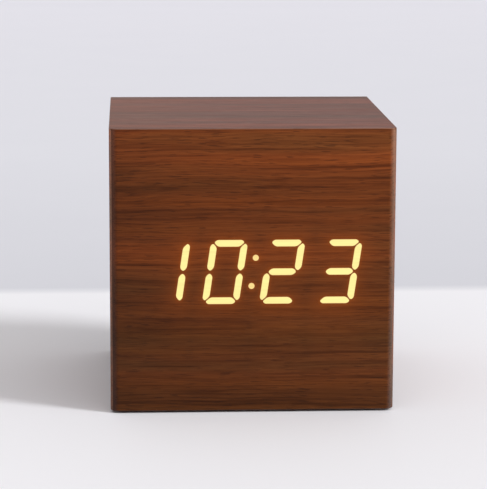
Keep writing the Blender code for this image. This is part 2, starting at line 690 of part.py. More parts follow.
def contact_bm(side, low_z, high_z, tab_z=None):
    """A flat contact plate on one end wall of the bay, with a solder tab at tab_z if that is given."""
    bottom, top, half = BAY_FLOOR_Y + GAP, CELL_Y + CELL_RADIUS - GAP, CONTACT_TAB_WIDTH / 2
    outline = [(bottom, low_z)]
    if tab_z is not None:
        under, below, above = TRAY_UNDER_Y - CONTACT_TAB_LENGTH, tab_z - half, tab_z + half
        outline += [(bottom, below), (under, below), (under, above), (bottom, above)]
    outline += [(bottom, high_z), (top, high_z), (top, low_z)]
    start, end = sorted((side * (BAY_HALF - GAP), contact_wall_x(side)))
    return prism_bm(outline, "X", start, end)


def build_contacts(group, nickel):
    """Two linking plates, each joining a spring's end to the next cell's button, and the two end plates."""
    cells, half = cell_places(), CONTACT_WIDTH / 2
    plates = []
    for lower, upper in zip(cells, cells[1:]):
        side = -lower[2]
        name = "battery_link_left" if side < 0 else "battery_link_right"
        plates.append((name, side, contact_bm(side, lower[1] - half, upper[1] + half), lower[1]))
    (first_side, first_z), (last_side, last_z) = tab_places()
    ends = (("negative", first_side, first_z, None), ("positive", last_side, last_z, last_z))
    for ending, side, z, button_z in ends:
        plates.append((f"battery_end_{ending}", side, contact_bm(side, z - half, z + half, z), button_z))
    for name, side, shape, button_z in plates:
        plate = add_piece(name, shape, nickel, group)
        if button_z is not None:
            bump = rod_profile(CONTACT_BUMP_RADIUS, -CONTACT_THICKNESS / 2, CONTACT_BUMP_HEIGHT - GAP)
            place = (contact_wall_x(side), CELL_Y, button_z)
            fuse(plate, "button", turned_bm(bump, (-side, 0, 0), SMALL_ROUND_STEPS, place))


def build_door(group, plastic):
    """The battery door. Its origin is on the axis that it tilts about, along its lower outer edge."""
    origin = Vector((0, HINGE_Y, HINGE_Z))
    low_z, high_z = BAY_LOW_Z + GAP, BAY_HIGH_Z - GAP
    low = Vector((-BAY_HALF + GAP, DOOR_IN_Y, low_z)) - origin
    high = Vector((BAY_HALF - GAP, PANEL_OUT_Y, high_z)) - origin
    door = add_piece("battery_door", box_bm(low, high), plastic, group, origin)

    tabs = bmesh.new()
    outer, inner = TRAY_RIM_Y, TRAY_RIM_Y - DOOR_TAB_THICKNESS
    bottom, rise = BAY_LOW_Z - DOOR_TAB_REACH, low_z + DOOR_TAB_RISE
    joined = DOOR_IN_Y + DOOR_THICKNESS / 2
    hook = [(inner, bottom), (outer, bottom), (outer, low_z)]
    hook += [(joined, low_z + GAP), (joined, rise), (inner, rise)]
    for side in (-1, 1):
        middle = side * DOOR_TAB_OFFSET
        prism_into(tabs, hook, "X", middle - DOOR_TAB_WIDTH / 2, middle + DOOR_TAB_WIDTH / 2)
    fuse(door, "tabs", tabs)

    ramp = high_z - GAP
    wedge = [(joined, ramp), (DOOR_IN_Y - LATCH_WEDGE, ramp), (joined, ramp - 3 * LATCH_WEDGE)]
    fuse(door, "latch_wedge", prism_bm(wedge, "X", -LATCH_WIDTH / 4, LATCH_WIDTH / 4))

    slots = bmesh.new()
    for side in (-1, 1):
        start, end = side * LATCH_WIDTH / 2, side * (LATCH_WIDTH / 2 + LATCH_SLOT)
        outline = [(start, high_z - LATCH_LENGTH), (end, high_z - LATCH_LENGTH)]
        outline += [(end, high_z + CUT_PAST), (start, high_z + CUT_PAST)]
        prism_into(slots, outline, "Y", DOOR_IN_Y - CUT_PAST, PANEL_OUT_Y + CUT_PAST)
    cut(door, "latch_slots", slots)


# ---- Buttons, switches and the rear board ----------------------------------------------------------------


def build_buttons(group, cap, housing, stem):
    """Each button cap, and the push switch behind it. A cap's and a plunger's origin is on its own axis."""
    out = PANEL_OUT_Y + BUTTON_PROUD - FLANGE_IN_Y
    cap_profile = [(0, 0), (BUTTON_FLANGE_RADIUS, 0), (BUTTON_FLANGE_RADIUS, BUTTON_FLANGE_THICKNESS)]
    cap_profile += [(BUTTON_RADIUS, BUTTON_FLANGE_THICKNESS), (BUTTON_RADIUS, out - BUTTON_EDGE)]
    cap_profile += [(BUTTON_RADIUS - BUTTON_EDGE, out), (0, out)]
    for name, x in button_places():
        button = turned_bm(cap_profile, (0, 1, 0), ROUND_STEPS)
        add_piece(f"{name}_button", button, cap, group, (x, FLANGE_IN_Y, BUTTON_Z), smooth=True)

        half = SWITCH_SIDE / 2
        low, high = (x - half, SWITCH_BASE_Y, BUTTON_Z - half), (x + half, SWITCH_TOP_Y, BUTTON_Z + half)
        body = add_box(f"{name}_switch", low, high, housing, group)
        deep = PLUNGER_IN + BUTTON_TRAVEL + GAP
        bore = rod_profile(PLUNGER_RADIUS + PLUNGER_CLEARANCE, -CUT_PAST, deep)
        cut(body, "bore", turned_bm(bore, (0, -1, 0), SMALL_ROUND_STEPS, (x, SWITCH_TOP_Y, BUTTON_Z)))

        rod = rod_profile(PLUNGER_RADIUS, 0, PLUNGER_OUT + PLUNGER_IN)
        plunger = turned_bm(rod, (0, -1, 0), SMALL_ROUND_STEPS)
        add_piece(f"{name}_plunger", plunger, stem, group, (x, PLUNGER_TOP_Y, BUTTON_Z), smooth=True)


def build_rear_board(group, laminate):
    """The small board that the switches and the socket are soldered to, held by the panel's two pins."""
    board = add_box(
        "rear_board",
        (-REAR_BOARD_HALF_WIDTH, REAR_BOARD_IN_Y, REAR_BOARD_LOW_Z),
        (REAR_BOARD_HALF_WIDTH, REAR_BOARD_OUT_Y, REAR_BOARD_HIGH_Z),
        laminate,
        group,
    )
    holes = bmesh.new()
    for x, z in board_pin_places():
        profile = rod_profile(PIN_RADIUS + GAP, -CUT_PAST, CIRCUIT_THICKNESS + CUT_PAST)
        turned_into(holes, profile, (x, REAR_BOARD_IN_Y, z), (0, 1, 0), SMALL_ROUND_STEPS)
    cut(board, "pin_holes", holes)


def build_usb_socket(group, steel, black):
    """The socket's folded steel shell, and the plastic tongue inside it."""
    mouth = PANEL_OUT_Y - USB_SETBACK
    shell = add_piece("usb_shell", prism_bm(usb_outline(), "Y", REAR_BOARD_OUT_Y + GAP, mouth), steel, group)
    cut(shell, "cavity", prism_bm(usb_outline(-USB_WALL), "Y", mouth - USB_DEPTH, mouth + CUT_PAST))
    start = mouth - USB_DEPTH + GAP
    add_box(
        "usb_tongue",
        (USB_X - TONGUE_HALF_WIDTH, start, BUTTON_Z),
        (USB_X + TONGUE_HALF_WIDTH, start + TONGUE_LENGTH, BUTTON_Z + TONGUE_THICKNESS),
        black,
        group,
    )


def build_microphone(group, metal):
    """The capsule behind the pinhole, which hears the tap or clap that wakes the display."""
    capsule = turned_bm(rod_profile(MICROPHONE_RADIUS, 0, MICROPHONE_HEIGHT), (0, -1, 0), ROUND_STEPS)
    add_piece("microphone", capsule, metal, group, (MICROPHONE_X, PANEL_IN_Y - GAP, SCREW_LOW_Z), smooth=True)


# ---- Display and main board ------------------------------------------------------------------------------


def bar_outlines():
    """The seven bars of one upright digit, as (x, z) outlines about the digit's middle."""
    half, side = BAR_WIDTH / 2, BAR_GAP / math.sqrt(2)
    far, near, corner = (BAR_CORNER + side) / 2, (BAR_CORNER - side) / 2, BAR_CORNER - half
    end = [(COLUMN + corner, ROW + half), (COLUMN + near, ROW + far), (COLUMN - half - side, ROW - half)]
    top = end + [(-x, z) for x, z in reversed(end)]
    right = [(COLUMN - half, ROW - half - side), (COLUMN + far, ROW + near), (COLUMN + half, ROW + corner)]
    right += [(COLUMN + half, side + half), (COLUMN, side), (COLUMN - half, side + half)]
    point = [(COLUMN - side - half, half), (COLUMN - side, 0), (COLUMN - side - half, -half)]
    middle = point + [(-x, -z) for x, z in point]
    bars = [top, [(x, -z) for x, z in top], middle]
    bars += [[(sx * x, sz * z) for x, z in right] for sx in (-1, 1) for sz in (-1, 1)]
    return bars


def light_outlines(grow=0.0):
    """Every light channel of the module: each digit's bars, leaning, and the colon's two dots."""
    found = []
    for digit in range(DIGIT_COUNT):
        middle = (digit - (DIGIT_COUNT - 1) / 2) * DIGIT_PITCH
        found += [[(middle + x + SLANT * z, z) for x, z in grown(bar, grow)] for bar in bar_outlines()]
    for rise in (COLON_RISE, -COLON_RISE):
        radius, turns = COLON_RADIUS + grow, [math.tau * k / COLON_STEPS for k in range(COLON_STEPS)]
        found.append([(SLANT * rise + radius * math.cos(a), rise + radius * math.sin(a)) for a in turns])
    return [[(DISPLAY_X + x, MIDDLE_Z + z) for x, z in outline] for outline in found]


def grown(outline, by):
    """An outline with each side moved out by a distance."""
    points = [Vector(p) for p in outline]
    area = sum(a.x * b.y - b.x * a.y for a, b in zip(points, points[1:] + points[:1]))
    outwards = 1 if area > 0 else -1
    moved = []
    for i, point in enumerate(points):
        before = (point - points[i - 1]).normalized()
        after = (points[(i + 1) % len(points)] - point).normalized()
        first = Vector((before.y, -before.x)) * outwards
        second = Vector((after.y, -after.x)) * outwards
        moved.append(tuple(point + (first + second) * (by / (1 + first.dot(second)))))
    return moved


def build_display(group, shell, resin, laminate):
    """The LED module: a reflector with a channel for each light, the resin cast into it, and the LED board."""
    half_width, half_height = MODULE_WIDTH / 2, MODULE_HEIGHT / 2
    reflector = add_box(
        "display_reflector",
        (DISPLAY_X - half_width, BOARD_FRONT_Y, MIDDLE_Z - half_height),
        (DISPLAY_X + half_width, MODULE_BACK_Y, MIDDLE_Z + half_height),
        shell,
        group,
    )
    channels = bmesh.new()
    for outline in light_outlines(CAST_GAP / 2):
        prism_into(channels, outline, "Y", BOARD_FRONT_Y - CUT_PAST, CHANNEL_BACK_Y + CUT_PAST)
    cut(reflector, "channels", channels)
    pocket = [(DISPLAY_X + x, z) for x, z in module_corners(MODULE_WALL)]
    cut(reflector, "pocket", prism_bm(pocket, "Y", CHANNEL_BACK_Y, MODULE_BACK_Y + CUT_PAST))

    slab = [(DISPLAY_X + x, z) for x, z in module_corners(MODULE_WALL + CAST_GAP)]
    cast = add_piece("display_resin", prism_bm(slab, "Y", RESIN_FRONT_Y, RESIN_BACK_Y), resin, group)
    pegs = bmesh.new()
    for outline in light_outlines(-CAST_GAP / 2):
        prism_into(pegs, outline, "Y", BOARD_FRONT_Y + CAST_GAP, RESIN_FRONT_Y + RESIN_THICKNESS / 2)
    fuse(cast, "pegs", pegs)

    board_outline = [(DISPLAY_X + x, z) for x, z in module_corners(MODULE_WALL + GAP)]
    board = add_piece(
        "display_led_board", prism_bm(board_outline, "Y", LED_BOARD_FRONT_Y, LED_BOARD_BACK_Y), laminate, group
    )
    leads = bmesh.new()
    for i in range(LEADS_IN_ROW):
        x = DISPLAY_X + (i - (LEADS_IN_ROW - 1) / 2) * LEAD_PITCH
        for z in (MIDDLE_Z - LEAD_ROW_HALF, MIDDLE_Z + LEAD_ROW_HALF):
            start = LED_BOARD_BACK_Y - LED_BOARD_THICKNESS / 2
            profile = rod_profile(LEAD_RADIUS, 0, MODULE_BACK_Y - start)
            turned_into(leads, profile, (x, start, z), (0, 1, 0), LEAD_STEPS)
    fuse(board, "leads", leads)


def module_corners(inset):
    """The (x, z) corners of the module's outline, moved in by a distance. The x is from the module's middle."""
    half_height = MODULE_HEIGHT / 2 - inset
    return corners(MODULE_WIDTH / 2 - inset, MIDDLE_Z - half_height, MIDDLE_Z + half_height)


def build_main_board(group, laminate, wood, steel):
    """The main board on two rails that are glued behind the front board, with a screw in each."""
    half_width, half_height = MAIN_BOARD_WIDTH / 2, MAIN_BOARD_HEIGHT / 2
    board = add_box(
        "main_board",
        (-half_width, MAIN_BOARD_FRONT_Y, MIDDLE_Z - half_height),
        (half_width, MAIN_BOARD_BACK_Y, MIDDLE_Z + half_height),
        laminate,
        group,
    )
    holes = bmesh.new()
    head_y = MAIN_BOARD_BACK_Y + GAP / 2
    for ending, way in (("lower", -1), ("upper", 1)):
        z = MIDDLE_Z + way * RAIL_OFFSET
        rail = add_box(
            f"board_rail_{ending}",
            (-RAIL_LENGTH / 2, BOARD_BACK_Y + GAP, z - RAIL_WIDTH / 2),
            (RAIL_LENGTH / 2, MAIN_BOARD_FRONT_Y - GAP, z + RAIL_WIDTH / 2),
            wood,
            group,
        )
        pilot = rod_profile(SCREW_RADIUS + SCREW_CLEARANCE, -CUT_PAST, MAIN_BOARD_FRONT_Y - BOARD_BACK_Y)
        cut(rail, "pilot_hole", turned_bm(pilot, (0, -1, 0), SMALL_ROUND_STEPS, (0, MAIN_BOARD_FRONT_Y, z)))
        hole = rod_profile(SCREW_RADIUS + SCREW_CLEARANCE, -CUT_PAST, CIRCUIT_THICKNESS + CUT_PAST)
        turned_into(holes, hole, (0, MAIN_BOARD_FRONT_Y, z), (0, 1, 0), SMALL_ROUND_STEPS)
        top = -BOARD_SCREW_HEAD_HEIGHT
        profile = [(0, top), (SCREW_HEAD_RADIUS, top), (SCREW_HEAD_RADIUS, 0), (SCREW_RADIUS, 0)]
        profile += [(SCREW_RADIUS, BOARD_SCREW_LENGTH), (0, BOARD_SCREW_LENGTH)]
        screw = turned_bm(profile, (0, -1, 0), SMALL_ROUND_STEPS)
        add_piece(f"board_screw_{ending}", screw, steel, group, (0, head_y, z), smooth=True)
    cut(board, "screw_holes", holes)


def build_components(group, epoxy, metal, black):
    """What is soldered to the rear face of the main board."""
    x, z = CHIP_AT[0], MIDDLE_Z + CHIP_AT[1]
    low = (x - CHIP_LENGTH / 2, PART_SEAT_Y + CHIP_LEAD_THICKNESS / 2, z - CHIP_WIDTH / 2)
    high = (x + CHIP_LENGTH / 2, PART_SEAT_Y + CHIP_HEIGHT, z + CHIP_WIDTH / 2)
    chip = add_box("microcontroller", low, high, epoxy, group)
    leads = bmesh.new()
    for i in range(CHIP_LEADS):
        middle = x + (i - (CHIP_LEADS - 1) / 2) * CHIP_LEAD_PITCH
        half = CHIP_WIDTH / 2 + CHIP_LEAD_REACH
        outline = [(middle + dx, dz) for dx, dz in corners(CHIP_LEAD_WIDTH / 2, z - half, z + half)]
        prism_into(leads, outline, "Y", PART_SEAT_Y, PART_SEAT_Y + CHIP_LEAD_THICKNESS)
    fuse(chip, "leads", leads)

    seat = (CRYSTAL_AT[0] - CRYSTAL_LENGTH / 2, PART_SEAT_Y + CRYSTAL_RADIUS, MIDDLE_Z + CRYSTAL_AT[1])
    crystal = turned_bm(rod_profile(CRYSTAL_RADIUS, 0, CRYSTAL_LENGTH), (1, 0, 0), SMALL_ROUND_STEPS)
    add_piece("crystal", crystal, metal, group, seat, smooth=True)

    can = [(0, 0), (BUZZER_RADIUS, 0), (BUZZER_RADIUS, BUZZER_HEIGHT), (BUZZER_HOLE_RADIUS, BUZZER_HEIGHT)]
    can += [(BUZZER_HOLE_RADIUS, BUZZER_HEIGHT - BUZZER_HOLE_DEPTH), (0, BUZZER_HEIGHT - BUZZER_HOLE_DEPTH)]
    seat = (BUZZER_AT[0], PART_SEAT_Y, MIDDLE_Z + BUZZER_AT[1])
    add_piece("buzzer", turned_bm(can, (0, 1, 0), ROUND_STEPS), black, group, seat, smooth=True)

    radius, tall, edge = CAPACITOR_RADIUS, CAPACITOR_HEIGHT, CAPACITOR_EDGE
    can = [(0, 0), (radius, 0), (radius, tall - edge), (radius - edge, tall), (0, tall)]
    seat = (CAPACITOR_AT[0], PART_SEAT_Y, MIDDLE_Z + CAPACITOR_AT[1])
    add_piece("capacitor", turned_bm(can, (0, 1, 0), SMALL_ROUND_STEPS), black, group, seat, smooth=True)


# ---- Wiring ----------------------------------------------------------------------------------------------


def build_ribbon(group, insulation):
    """The flat ribbon from the rear board to the main board: level at both ends, sagging between them."""
    start, end = Vector((REAR_BOARD_IN_Y - GAP, BUTTON_Z)), Vector((PART_SEAT_Y, MIDDLE_Z + RIBBON_RISE))
    line = []
    for i in range(RIBBON_STEPS + 1):
        share = i / RIBBON_STEPS
        ease = share * share * (3 - 2 * share)
        sag = RIBBON_SAG * math.sin(math.pi * share) ** 2
        line.append((start.x + (end.x - start.x) * share, start.y + (end.y - start.y) * ease - sag))
    half = RIBBON_THICKNESS / 2
    outline = [(y, z + half) for y, z in line] + [(y, z - half) for y, z in reversed(line)]
    ribbon = prism_bm(outline, "X", -RIBBON_WIDTH / 2, RIBBON_WIDTH / 2)
    add_piece("ribbon_cable", ribbon, insulation, group)


def build_wires(group, materials):
    """A wire from each solder tab to the main board: a tube along a Bezier curve, straight off both joints."""
    tab_end = TRAY_UNDER_Y - CONTACT_TAB_LENGTH - GAP
    for (side, z), ending, material in zip(tab_places(), ("negative", "positive"), materials):
        start = Vector((contact_wall_x(side) + side * CONTACT_THICKNESS / 2, tab_end, z))
        end = Vector((math.copysign(WIRE_HALF_SPREAD, side), PART_SEAT_Y, z))
        handles = [start, start - Vector((0, WIRE_REACH, 0)), end + Vector((0, WIRE_REACH, 0)), end]
        curve = bpy.data.curves.new(f"battery_wire_{ending}", "CURVE")
        curve.dimensions = "3D"
        curve.bevel_depth = WIRE_RADIUS
        curve.bevel_resolution = 2
        curve.use_fill_caps = True
        spline = curve.splines.new("POLY")
        spline.points.add(WIRE_STEPS)
        for i in range(WIRE_STEPS + 1):
            t = i / WIRE_STEPS
            weights = ((1 - t) ** 3, 3 * t * (1 - t) ** 2, 3 * t * t * (1 - t), t**3)
            point = sum((handle * weight for handle, weight in zip(handles, weights)), Vector())
            spline.points[i].co = (*point, 1)
        curve.materials.append(material)
        wire = bpy.data.objects.new(curve.name, curve)
        bpy.context.scene.collection.objects.link(wire)
        wire.parent = group


def main():
    """Builds the clock."""
    clear_scene()
    walnut = make_material("walnut_board", (0.13, 0.045, 0.02), 0.45)
    walnut_veneer = make_material("walnut_veneer", (0.14, 0.05, 0.022), 0.42)
    pine = make_material("pine_block", (0.55, 0.38, 0.2), 0.7)
    black_abs = make_material("black_abs", (0.02, 0.02, 0.022), 0.5)
    button_abs = make_material("button_abs", (0.045, 0.045, 0.05), 0.4)
    rubber = make_material("rubber", (0.015, 0.015, 0.015), 0.85)
    steel = make_material("zinc_steel", (0.6, 0.6, 0.62), 0.35, 1.0)
    nickel = make_material("nickel_strip", (0.66, 0.62, 0.55), 0.3, 1.0)
    sleeve = make_material("cell_sleeve", (0.05, 0.09, 0.16), 0.35)
    reflector = make_material("reflector_plastic", (0.75, 0.75, 0.72), 0.5)
    resin = make_material("amber_resin", (0.95, 0.7, 0.2), 0.2)
    laminate = make_material("green_laminate", (0.01, 0.12, 0.05), 0.4)
    epoxy = make_material("chip_epoxy", (0.02, 0.02, 0.02), 0.55)
    red = make_material("red_insulation", (0.5, 0.02, 0.02), 0.5)
    black = make_material("black_insulation", (0.02, 0.02, 0.02), 0.5)
    grey = make_material("grey_insulation", (0.4, 0.4, 0.42), 0.5)

    clock = make_group("alarm_clock")
    case = make_group("case", clock)
    build_case(case, walnut, walnut_veneer)
    build_corner_blocks(case, pine)
    build_feet(case, rubber)
    rear = make_group("rear", clock)
    build_rear_panel(rear, black_abs)
    build_panel_screws(rear, steel)
    build_buttons(rear, button_abs, epoxy, button_abs)
    build_rear_board(rear, laminate)
    build_usb_socket(rear, steel, black_abs)
    build_microphone(rear, steel)
    bay = make_group("battery_bay", clock)
    build_tray(bay, black_abs)
    build_cells(bay, sleeve)
    build_springs(bay, steel)
    build_contacts(bay, nickel)
    build_door(bay, black_abs)
    display = make_group("display", clock)
    build_display(display, reflector, resin, laminate)
    build_main_board(display, laminate, pine, steel)
    build_components(display, epoxy, steel, black_abs)
    wiring = make_group("wiring", clock)
    build_ribbon(wiring, grey)
    build_wires(wiring, (black, red))


main()
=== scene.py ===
"""Looks for a wooden cube alarm clock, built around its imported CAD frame.

The outer boards, the veneer, the rear panel, the door, the buttons and all small hardware are made again here
with their real edges and finishes. What is sealed inside the case keeps the CAD's shape and gets its material.

Lengths are metres, +Z is up and the display faces -Y. Run with Blender 4.5.
"""

from __future__ import annotations

import logging
import math
from collections.abc import Callable, Iterable, Mapping, Sequence
from dataclasses import dataclass, field
from enum import Enum
from typing import Any

import bmesh
import bpy
import numpy as np
from mathutils import Matrix, Vector

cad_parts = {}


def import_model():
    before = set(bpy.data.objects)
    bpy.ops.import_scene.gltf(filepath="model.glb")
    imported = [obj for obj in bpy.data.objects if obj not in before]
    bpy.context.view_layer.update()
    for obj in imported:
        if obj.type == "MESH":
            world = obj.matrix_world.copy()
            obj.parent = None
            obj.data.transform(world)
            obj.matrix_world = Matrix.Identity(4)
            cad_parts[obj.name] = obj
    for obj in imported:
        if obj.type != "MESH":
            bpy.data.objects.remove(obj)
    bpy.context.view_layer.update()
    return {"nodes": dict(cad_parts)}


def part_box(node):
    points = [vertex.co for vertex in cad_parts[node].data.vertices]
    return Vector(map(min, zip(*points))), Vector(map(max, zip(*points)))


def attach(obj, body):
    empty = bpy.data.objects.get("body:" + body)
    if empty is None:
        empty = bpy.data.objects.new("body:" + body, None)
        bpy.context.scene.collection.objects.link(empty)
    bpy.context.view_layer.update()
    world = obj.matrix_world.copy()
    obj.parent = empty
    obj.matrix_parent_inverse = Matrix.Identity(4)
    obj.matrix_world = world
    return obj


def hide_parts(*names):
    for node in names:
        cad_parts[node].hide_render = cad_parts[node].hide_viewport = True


LOG = logging.getLogger("alarm_clock")

MM = 0.001
Point = tuple[float, float]
Size = tuple[float, float, float]
Colour = tuple[float, float, float, float]
Tones = tuple[tuple[float, str | Colour], ...]
Tree = bpy.types.NodeTree
Node = bpy.types.Node
Socket = bpy.types.NodeSocket
Shape = bmesh.types.BMesh

# ---- Nodes and colours -----------------------------------------------------------------------------------


def linear(colour: str) -> Colour:
    """Turn an sRGB hex colour into linear RGBA.

    Args:
        colour: Six hex digits after a hash, such as "#6b3a20".

    Returns:
        Red, green and blue from 0 to 1 in linear light, and an alpha of 1.
    """
    levels = [int(colour[i : i + 2], 16) / 255 for i in (1, 3, 5)]
    red, green, blue = (v / 12.92 if v <= 0.04045 else ((v + 0.055) / 1.055) ** 2.4 for v in levels)
    return red, green, blue, 1.0


def add_node(
    tree: Tree,
    kind: str,
    settings: Mapping[str | int, Any] | None = None,
    links: Mapping[str | int, Socket] | None = None,
) -> Node:
    """Add a shader node with its settings and its incoming links.

    Args:
        tree: The node tree to add to.
        kind: The node's type, such as "ShaderNodeTexNoise".
        settings: Values by input name or index, or by the node's own property. "ramp" takes (position, colour)
            pairs for a colour ramp, where a colour is hex or linear.
        links: The outputs to connect, by input name or index.

    Returns:
        The new node.
    """
    node = tree.nodes.new(kind)
    for key, value in (settings or {}).items():
        if key == "ramp":
            stops = node.color_ramp.elements
            while len(stops) < len(value):
                stops.new(0.5)
            for stop, (position, colour) in zip(stops, value):
                stop.position = position
                stop.color = linear(colour) if isinstance(colour, str) else colour
        elif isinstance(key, int) or key in node.inputs:
            node.inputs[key].default_value = value
        else:
            setattr(node, key, value)
    for key, output in (links or {}).items():
        tree.links.new(output, node.inputs[key])
    return node


# ---- Finishes --------------------------------------------------------------------------------------------

MULTIPLY = {"data_type": "RGBA", "blend_type": "MULTIPLY", 0: 1.0}


def brighter(colour: str, gain: float, lift: float = 0.0) -> Colour:
    """Give a hex colour's linear tone after a gain and a lift."""
    red, green, blue = (min(1.0, level * gain + lift) for level in linear(colour)[:3])
    return red, green, blue, 1.0


@dataclass(frozen=True)
class Finish:
    """What every finish shares: a name, and a Principled shader with even settings.

    A subclass draws its pattern in `shade`.
    """

    name: str

    def material(self) -> bpy.types.Material:
        """Make the material, once.

        Returns:
            The material of this name.
        """
        found = bpy.data.materials.get(self.name)
        if found is not None:
            return found
        material = bpy.data.materials.new(self.name)
        material.use_nodes = True
        tree = material.node_tree
        tree.nodes.clear()
        shader = add_node(tree, "ShaderNodeBsdfPrincipled", self.even())
        add_node(tree, "ShaderNodeOutputMaterial", links={"Surface": shader.outputs[0]})
        self.shade(tree, shader)
        return material

    def even(self) -> dict[str | int, Any]:
        """Give the shader settings that are the same all over."""
        return {}

    def shade(self, tree: Tree, shader: Node) -> None:
        """Draw the pattern."""

    def millimetres(self, tree: Tree, turn: float = 0.0, offset: Size = (0.0, 0.0, 0.0)) -> Socket:
        """Give the piece's own coordinates in millimetres.

        Args:
            tree: The node tree to add to.
            turn: A turn about Z, in radians.
            offset: A shift in millimetres.

        Returns:
            The vector output.
        """
        place = add_node(tree, "ShaderNodeTexCoord")
        settings = {"Scale": (1 / MM,) * 3, "Rotation": (0.0, 0.0, turn), "Location": offset}
        return add_node(tree, "ShaderNodeMapping", settings, {"Vector": place.outputs["Object"]}).outputs[0]

    def patches(self, tree: Tree, here: Socket, size: Size, detail: float, rough: float = 0.5) -> Node:
        """Draw noise whose patches have a given size.

        Args:
            tree: The node tree to add to.
            here: Coordinates in millimetres.
            size: A patch's size along X, Y and Z, in millimetres.
            detail: How many finer levels the noise has.
            rough: How strong the finer levels are.

        Returns:
            The noise node.
        """
        scale = {"Scale": tuple(1 / length for length in size)}
        scaled = add_node(tree, "ShaderNodeMapping", scale, {"Vector": here})
        settings = {"Scale": 1.0, "Detail": detail, "Roughness": rough}
        return add_node(tree, "ShaderNodeTexNoise", settings, {"Vector": scaled.outputs[0]})


class Grain(Enum):
    """The way that a board's grain runs, as the turn about Z that brings it along X."""

    ALONG_X = 0.0
    ALONG_Y = math.pi / 2


@dataclass(frozen=True)
class WalnutVeneer(Finish):
    """Sliced walnut veneer with a thin wiped-on oil.

    Level bands of red and grey brown, finer growth lines inside them, and short dark open pores that catch the
    light. A streak has a length and a width in millimetres, and a number of finer levels.
    """

    grain: Grain = Grain.ALONG_X
    offset: Size = (0.0, 0.0, 0.0)
    lit: bool = False
    waver: float = 2.6  # mm that the grain strays from a straight line
    waver_size: Size = (38.0, 13.0, 13.0)
    band: Size = (210.0, 9.0, 2.0)
    growth_line: Size = (75.0, 0.9, 3.0)
    fibre: Size = (16.0, 0.28, 2.0)  # real fibres are 0.02 mm wide, which no render of a whole clock shows
    pore: Size = (3.2, 0.2, 0.0)
    pore_colour: str = "#1d0e08"
    tones: Tones = ((0.36, "#7c4821"), (0.5, "#944b20"), (0.64, "#a5521e"))
    line_tones: Tones = ((0.34, "#c4bdb4"), (0.48, "#f0ecea"), (0.66, "#ffffff"))
    fibre_tones: Tones = ((0.32, "#d6d0ca"), (0.66, "#ffffff"))
    # painted sheen: a lighter, greyer tone mixed onto every rounded edge for the light it catches
    edge_sheen: str = "#a8846e"
    # painted shade by height: multiplies the wood, darker towards the bottom
    shade_by_height: Tones = ((0.0, "#bcc4cc"), (1.0, "#ffffff"))
    leaf_height: float = 64.0  # mm
    # painted light and shade along the grain, from one end of the board to the other
    ends: Tones = ((0.0, "#dfe0e2"), (1.0, "#ffffff"))

    def even(self) -> dict[str | int, Any]:
        """Give the oil's dull gloss, which shows mostly at a glancing angle."""
        return {"IOR": 1.5, "Specular IOR Level": 0.1}

    def shade(self, tree: Tree, shader: Node) -> None:
        """Draw bands, growth lines, fibres and pores with their bump, and the painted sheen, light and shade.
        """
        flat = self.millimetres(tree, self.grain.value, self.offset)
        drift = self.patches(tree, flat, self.waver_size, 2.0).outputs["Color"]
        bend = {"operation": "MULTIPLY_ADD", 1: (0.0, self.waver, self.waver)}
        wood = add_node(tree, "ShaderNodeVectorMath", bend, {0: drift, 2: flat}).outputs[0]
        bands, lines, fibres, pores = (
            self.patches(tree, wood, (length, width, width), detail, 0.55).outputs["Fac"]
            for length, width, detail in (self.band, self.growth_line, self.fibre, self.pore)
        )
        colour = add_node(tree, "ShaderNodeValToRGB", {"ramp": self.tones}, {0: bands}).outputs[0]
        for streaks, tones in ((lines, self.line_tones), (fibres, self.fibre_tones)):
            tint = add_node(tree, "ShaderNodeValToRGB", {"ramp": tones}, {0: streaks}).outputs[0]
            colour = add_node(tree, "ShaderNodeMix", MULTIPLY, {6: colour, 7: tint}).outputs[2]
        # painted sheen on the rounded edges, up to 0.6 of the way to the sheen colour
        sheened = {"data_type": "RGBA", 7: linear(self.edge_sheen)}
        colour = add_node(tree, "ShaderNodeMix", sheened, {0: self.edge_sheen_share(tree), 6: colour}).outputs[2]
        # painted light and shade by height and along the grain
        colour = self.paint_light_and_shade(tree, colour, flat)
        opened = {"From Min": 0.64, "From Max": 0.72}
        pore = add_node(tree, "ShaderNodeMapRange", opened, {"Value": pores}).outputs[0]
        hollow = add_node(tree, "ShaderNodeMath", {"operation": "MULTIPLY", 1: 0.42}, {0: pore}).outputs[0]
        dark = {"data_type": "RGBA", 7: linear(self.pore_colour)}
        colour = add_node(tree, "ShaderNodeMix", dark, {0: hollow, 6: colour}).outputs[2]
        if self.lit:
            colour = self.let_light_through(tree, shader, colour)
        tree.links.new(colour, shader.inputs["Base Color"])

        gloss = {"From Min": 0.3, "From Max": 0.7, "To Min": 0.42, "To Max": 0.32}
        rough = add_node(tree, "ShaderNodeMapRange", gloss, {"Value": fibres})
        tree.links.new(rough.outputs[0], shader.inputs["Roughness"])
        sunk = {"operation": "MULTIPLY_ADD", 1: -1.4}
        relief = add_node(tree, "ShaderNodeMath", sunk, {0: pore, 2: fibres}).outputs[0]
        height = {"Strength": 0.35, "Distance": 0.03 * MM}
        bump = add_node(tree, "ShaderNodeBump", height, {"Height": relief})
        tree.links.new(bump.outputs[0], shader.inputs["Normal"])

    def paint_light_and_shade(self, tree: Tree, colour: Socket, wood: Socket) -> Socket:
        """Paint light and shade over the wood, by height and from end to end along the grain.

        Args:
            tree: The node tree to add to.
            colour: The wood's colour.
            wood: Coordinates in millimetres with the grain along X.

        Returns:
            The colour under the painted light and shade.
        """
        place = add_node(tree, "ShaderNodeSeparateXYZ", links={0: wood})
        half = self.leaf_height / 2
        for axis, start, end, tones in (("Z", 0.0, 2 * half, self.shade_by_height), ("X", -half, half, self.ends)):
            reach = {"From Min": start, "From Max": end}
            share = add_node(tree, "ShaderNodeMapRange", reach, {"Value": place.outputs[axis]}).outputs[0]
            tint = add_node(tree, "ShaderNodeValToRGB", {"ramp": tones}, {0: share}).outputs[0]
            colour = add_node(tree, "ShaderNodeMix", MULTIPLY, {6: colour, 7: tint}).outputs[2]
        return colour

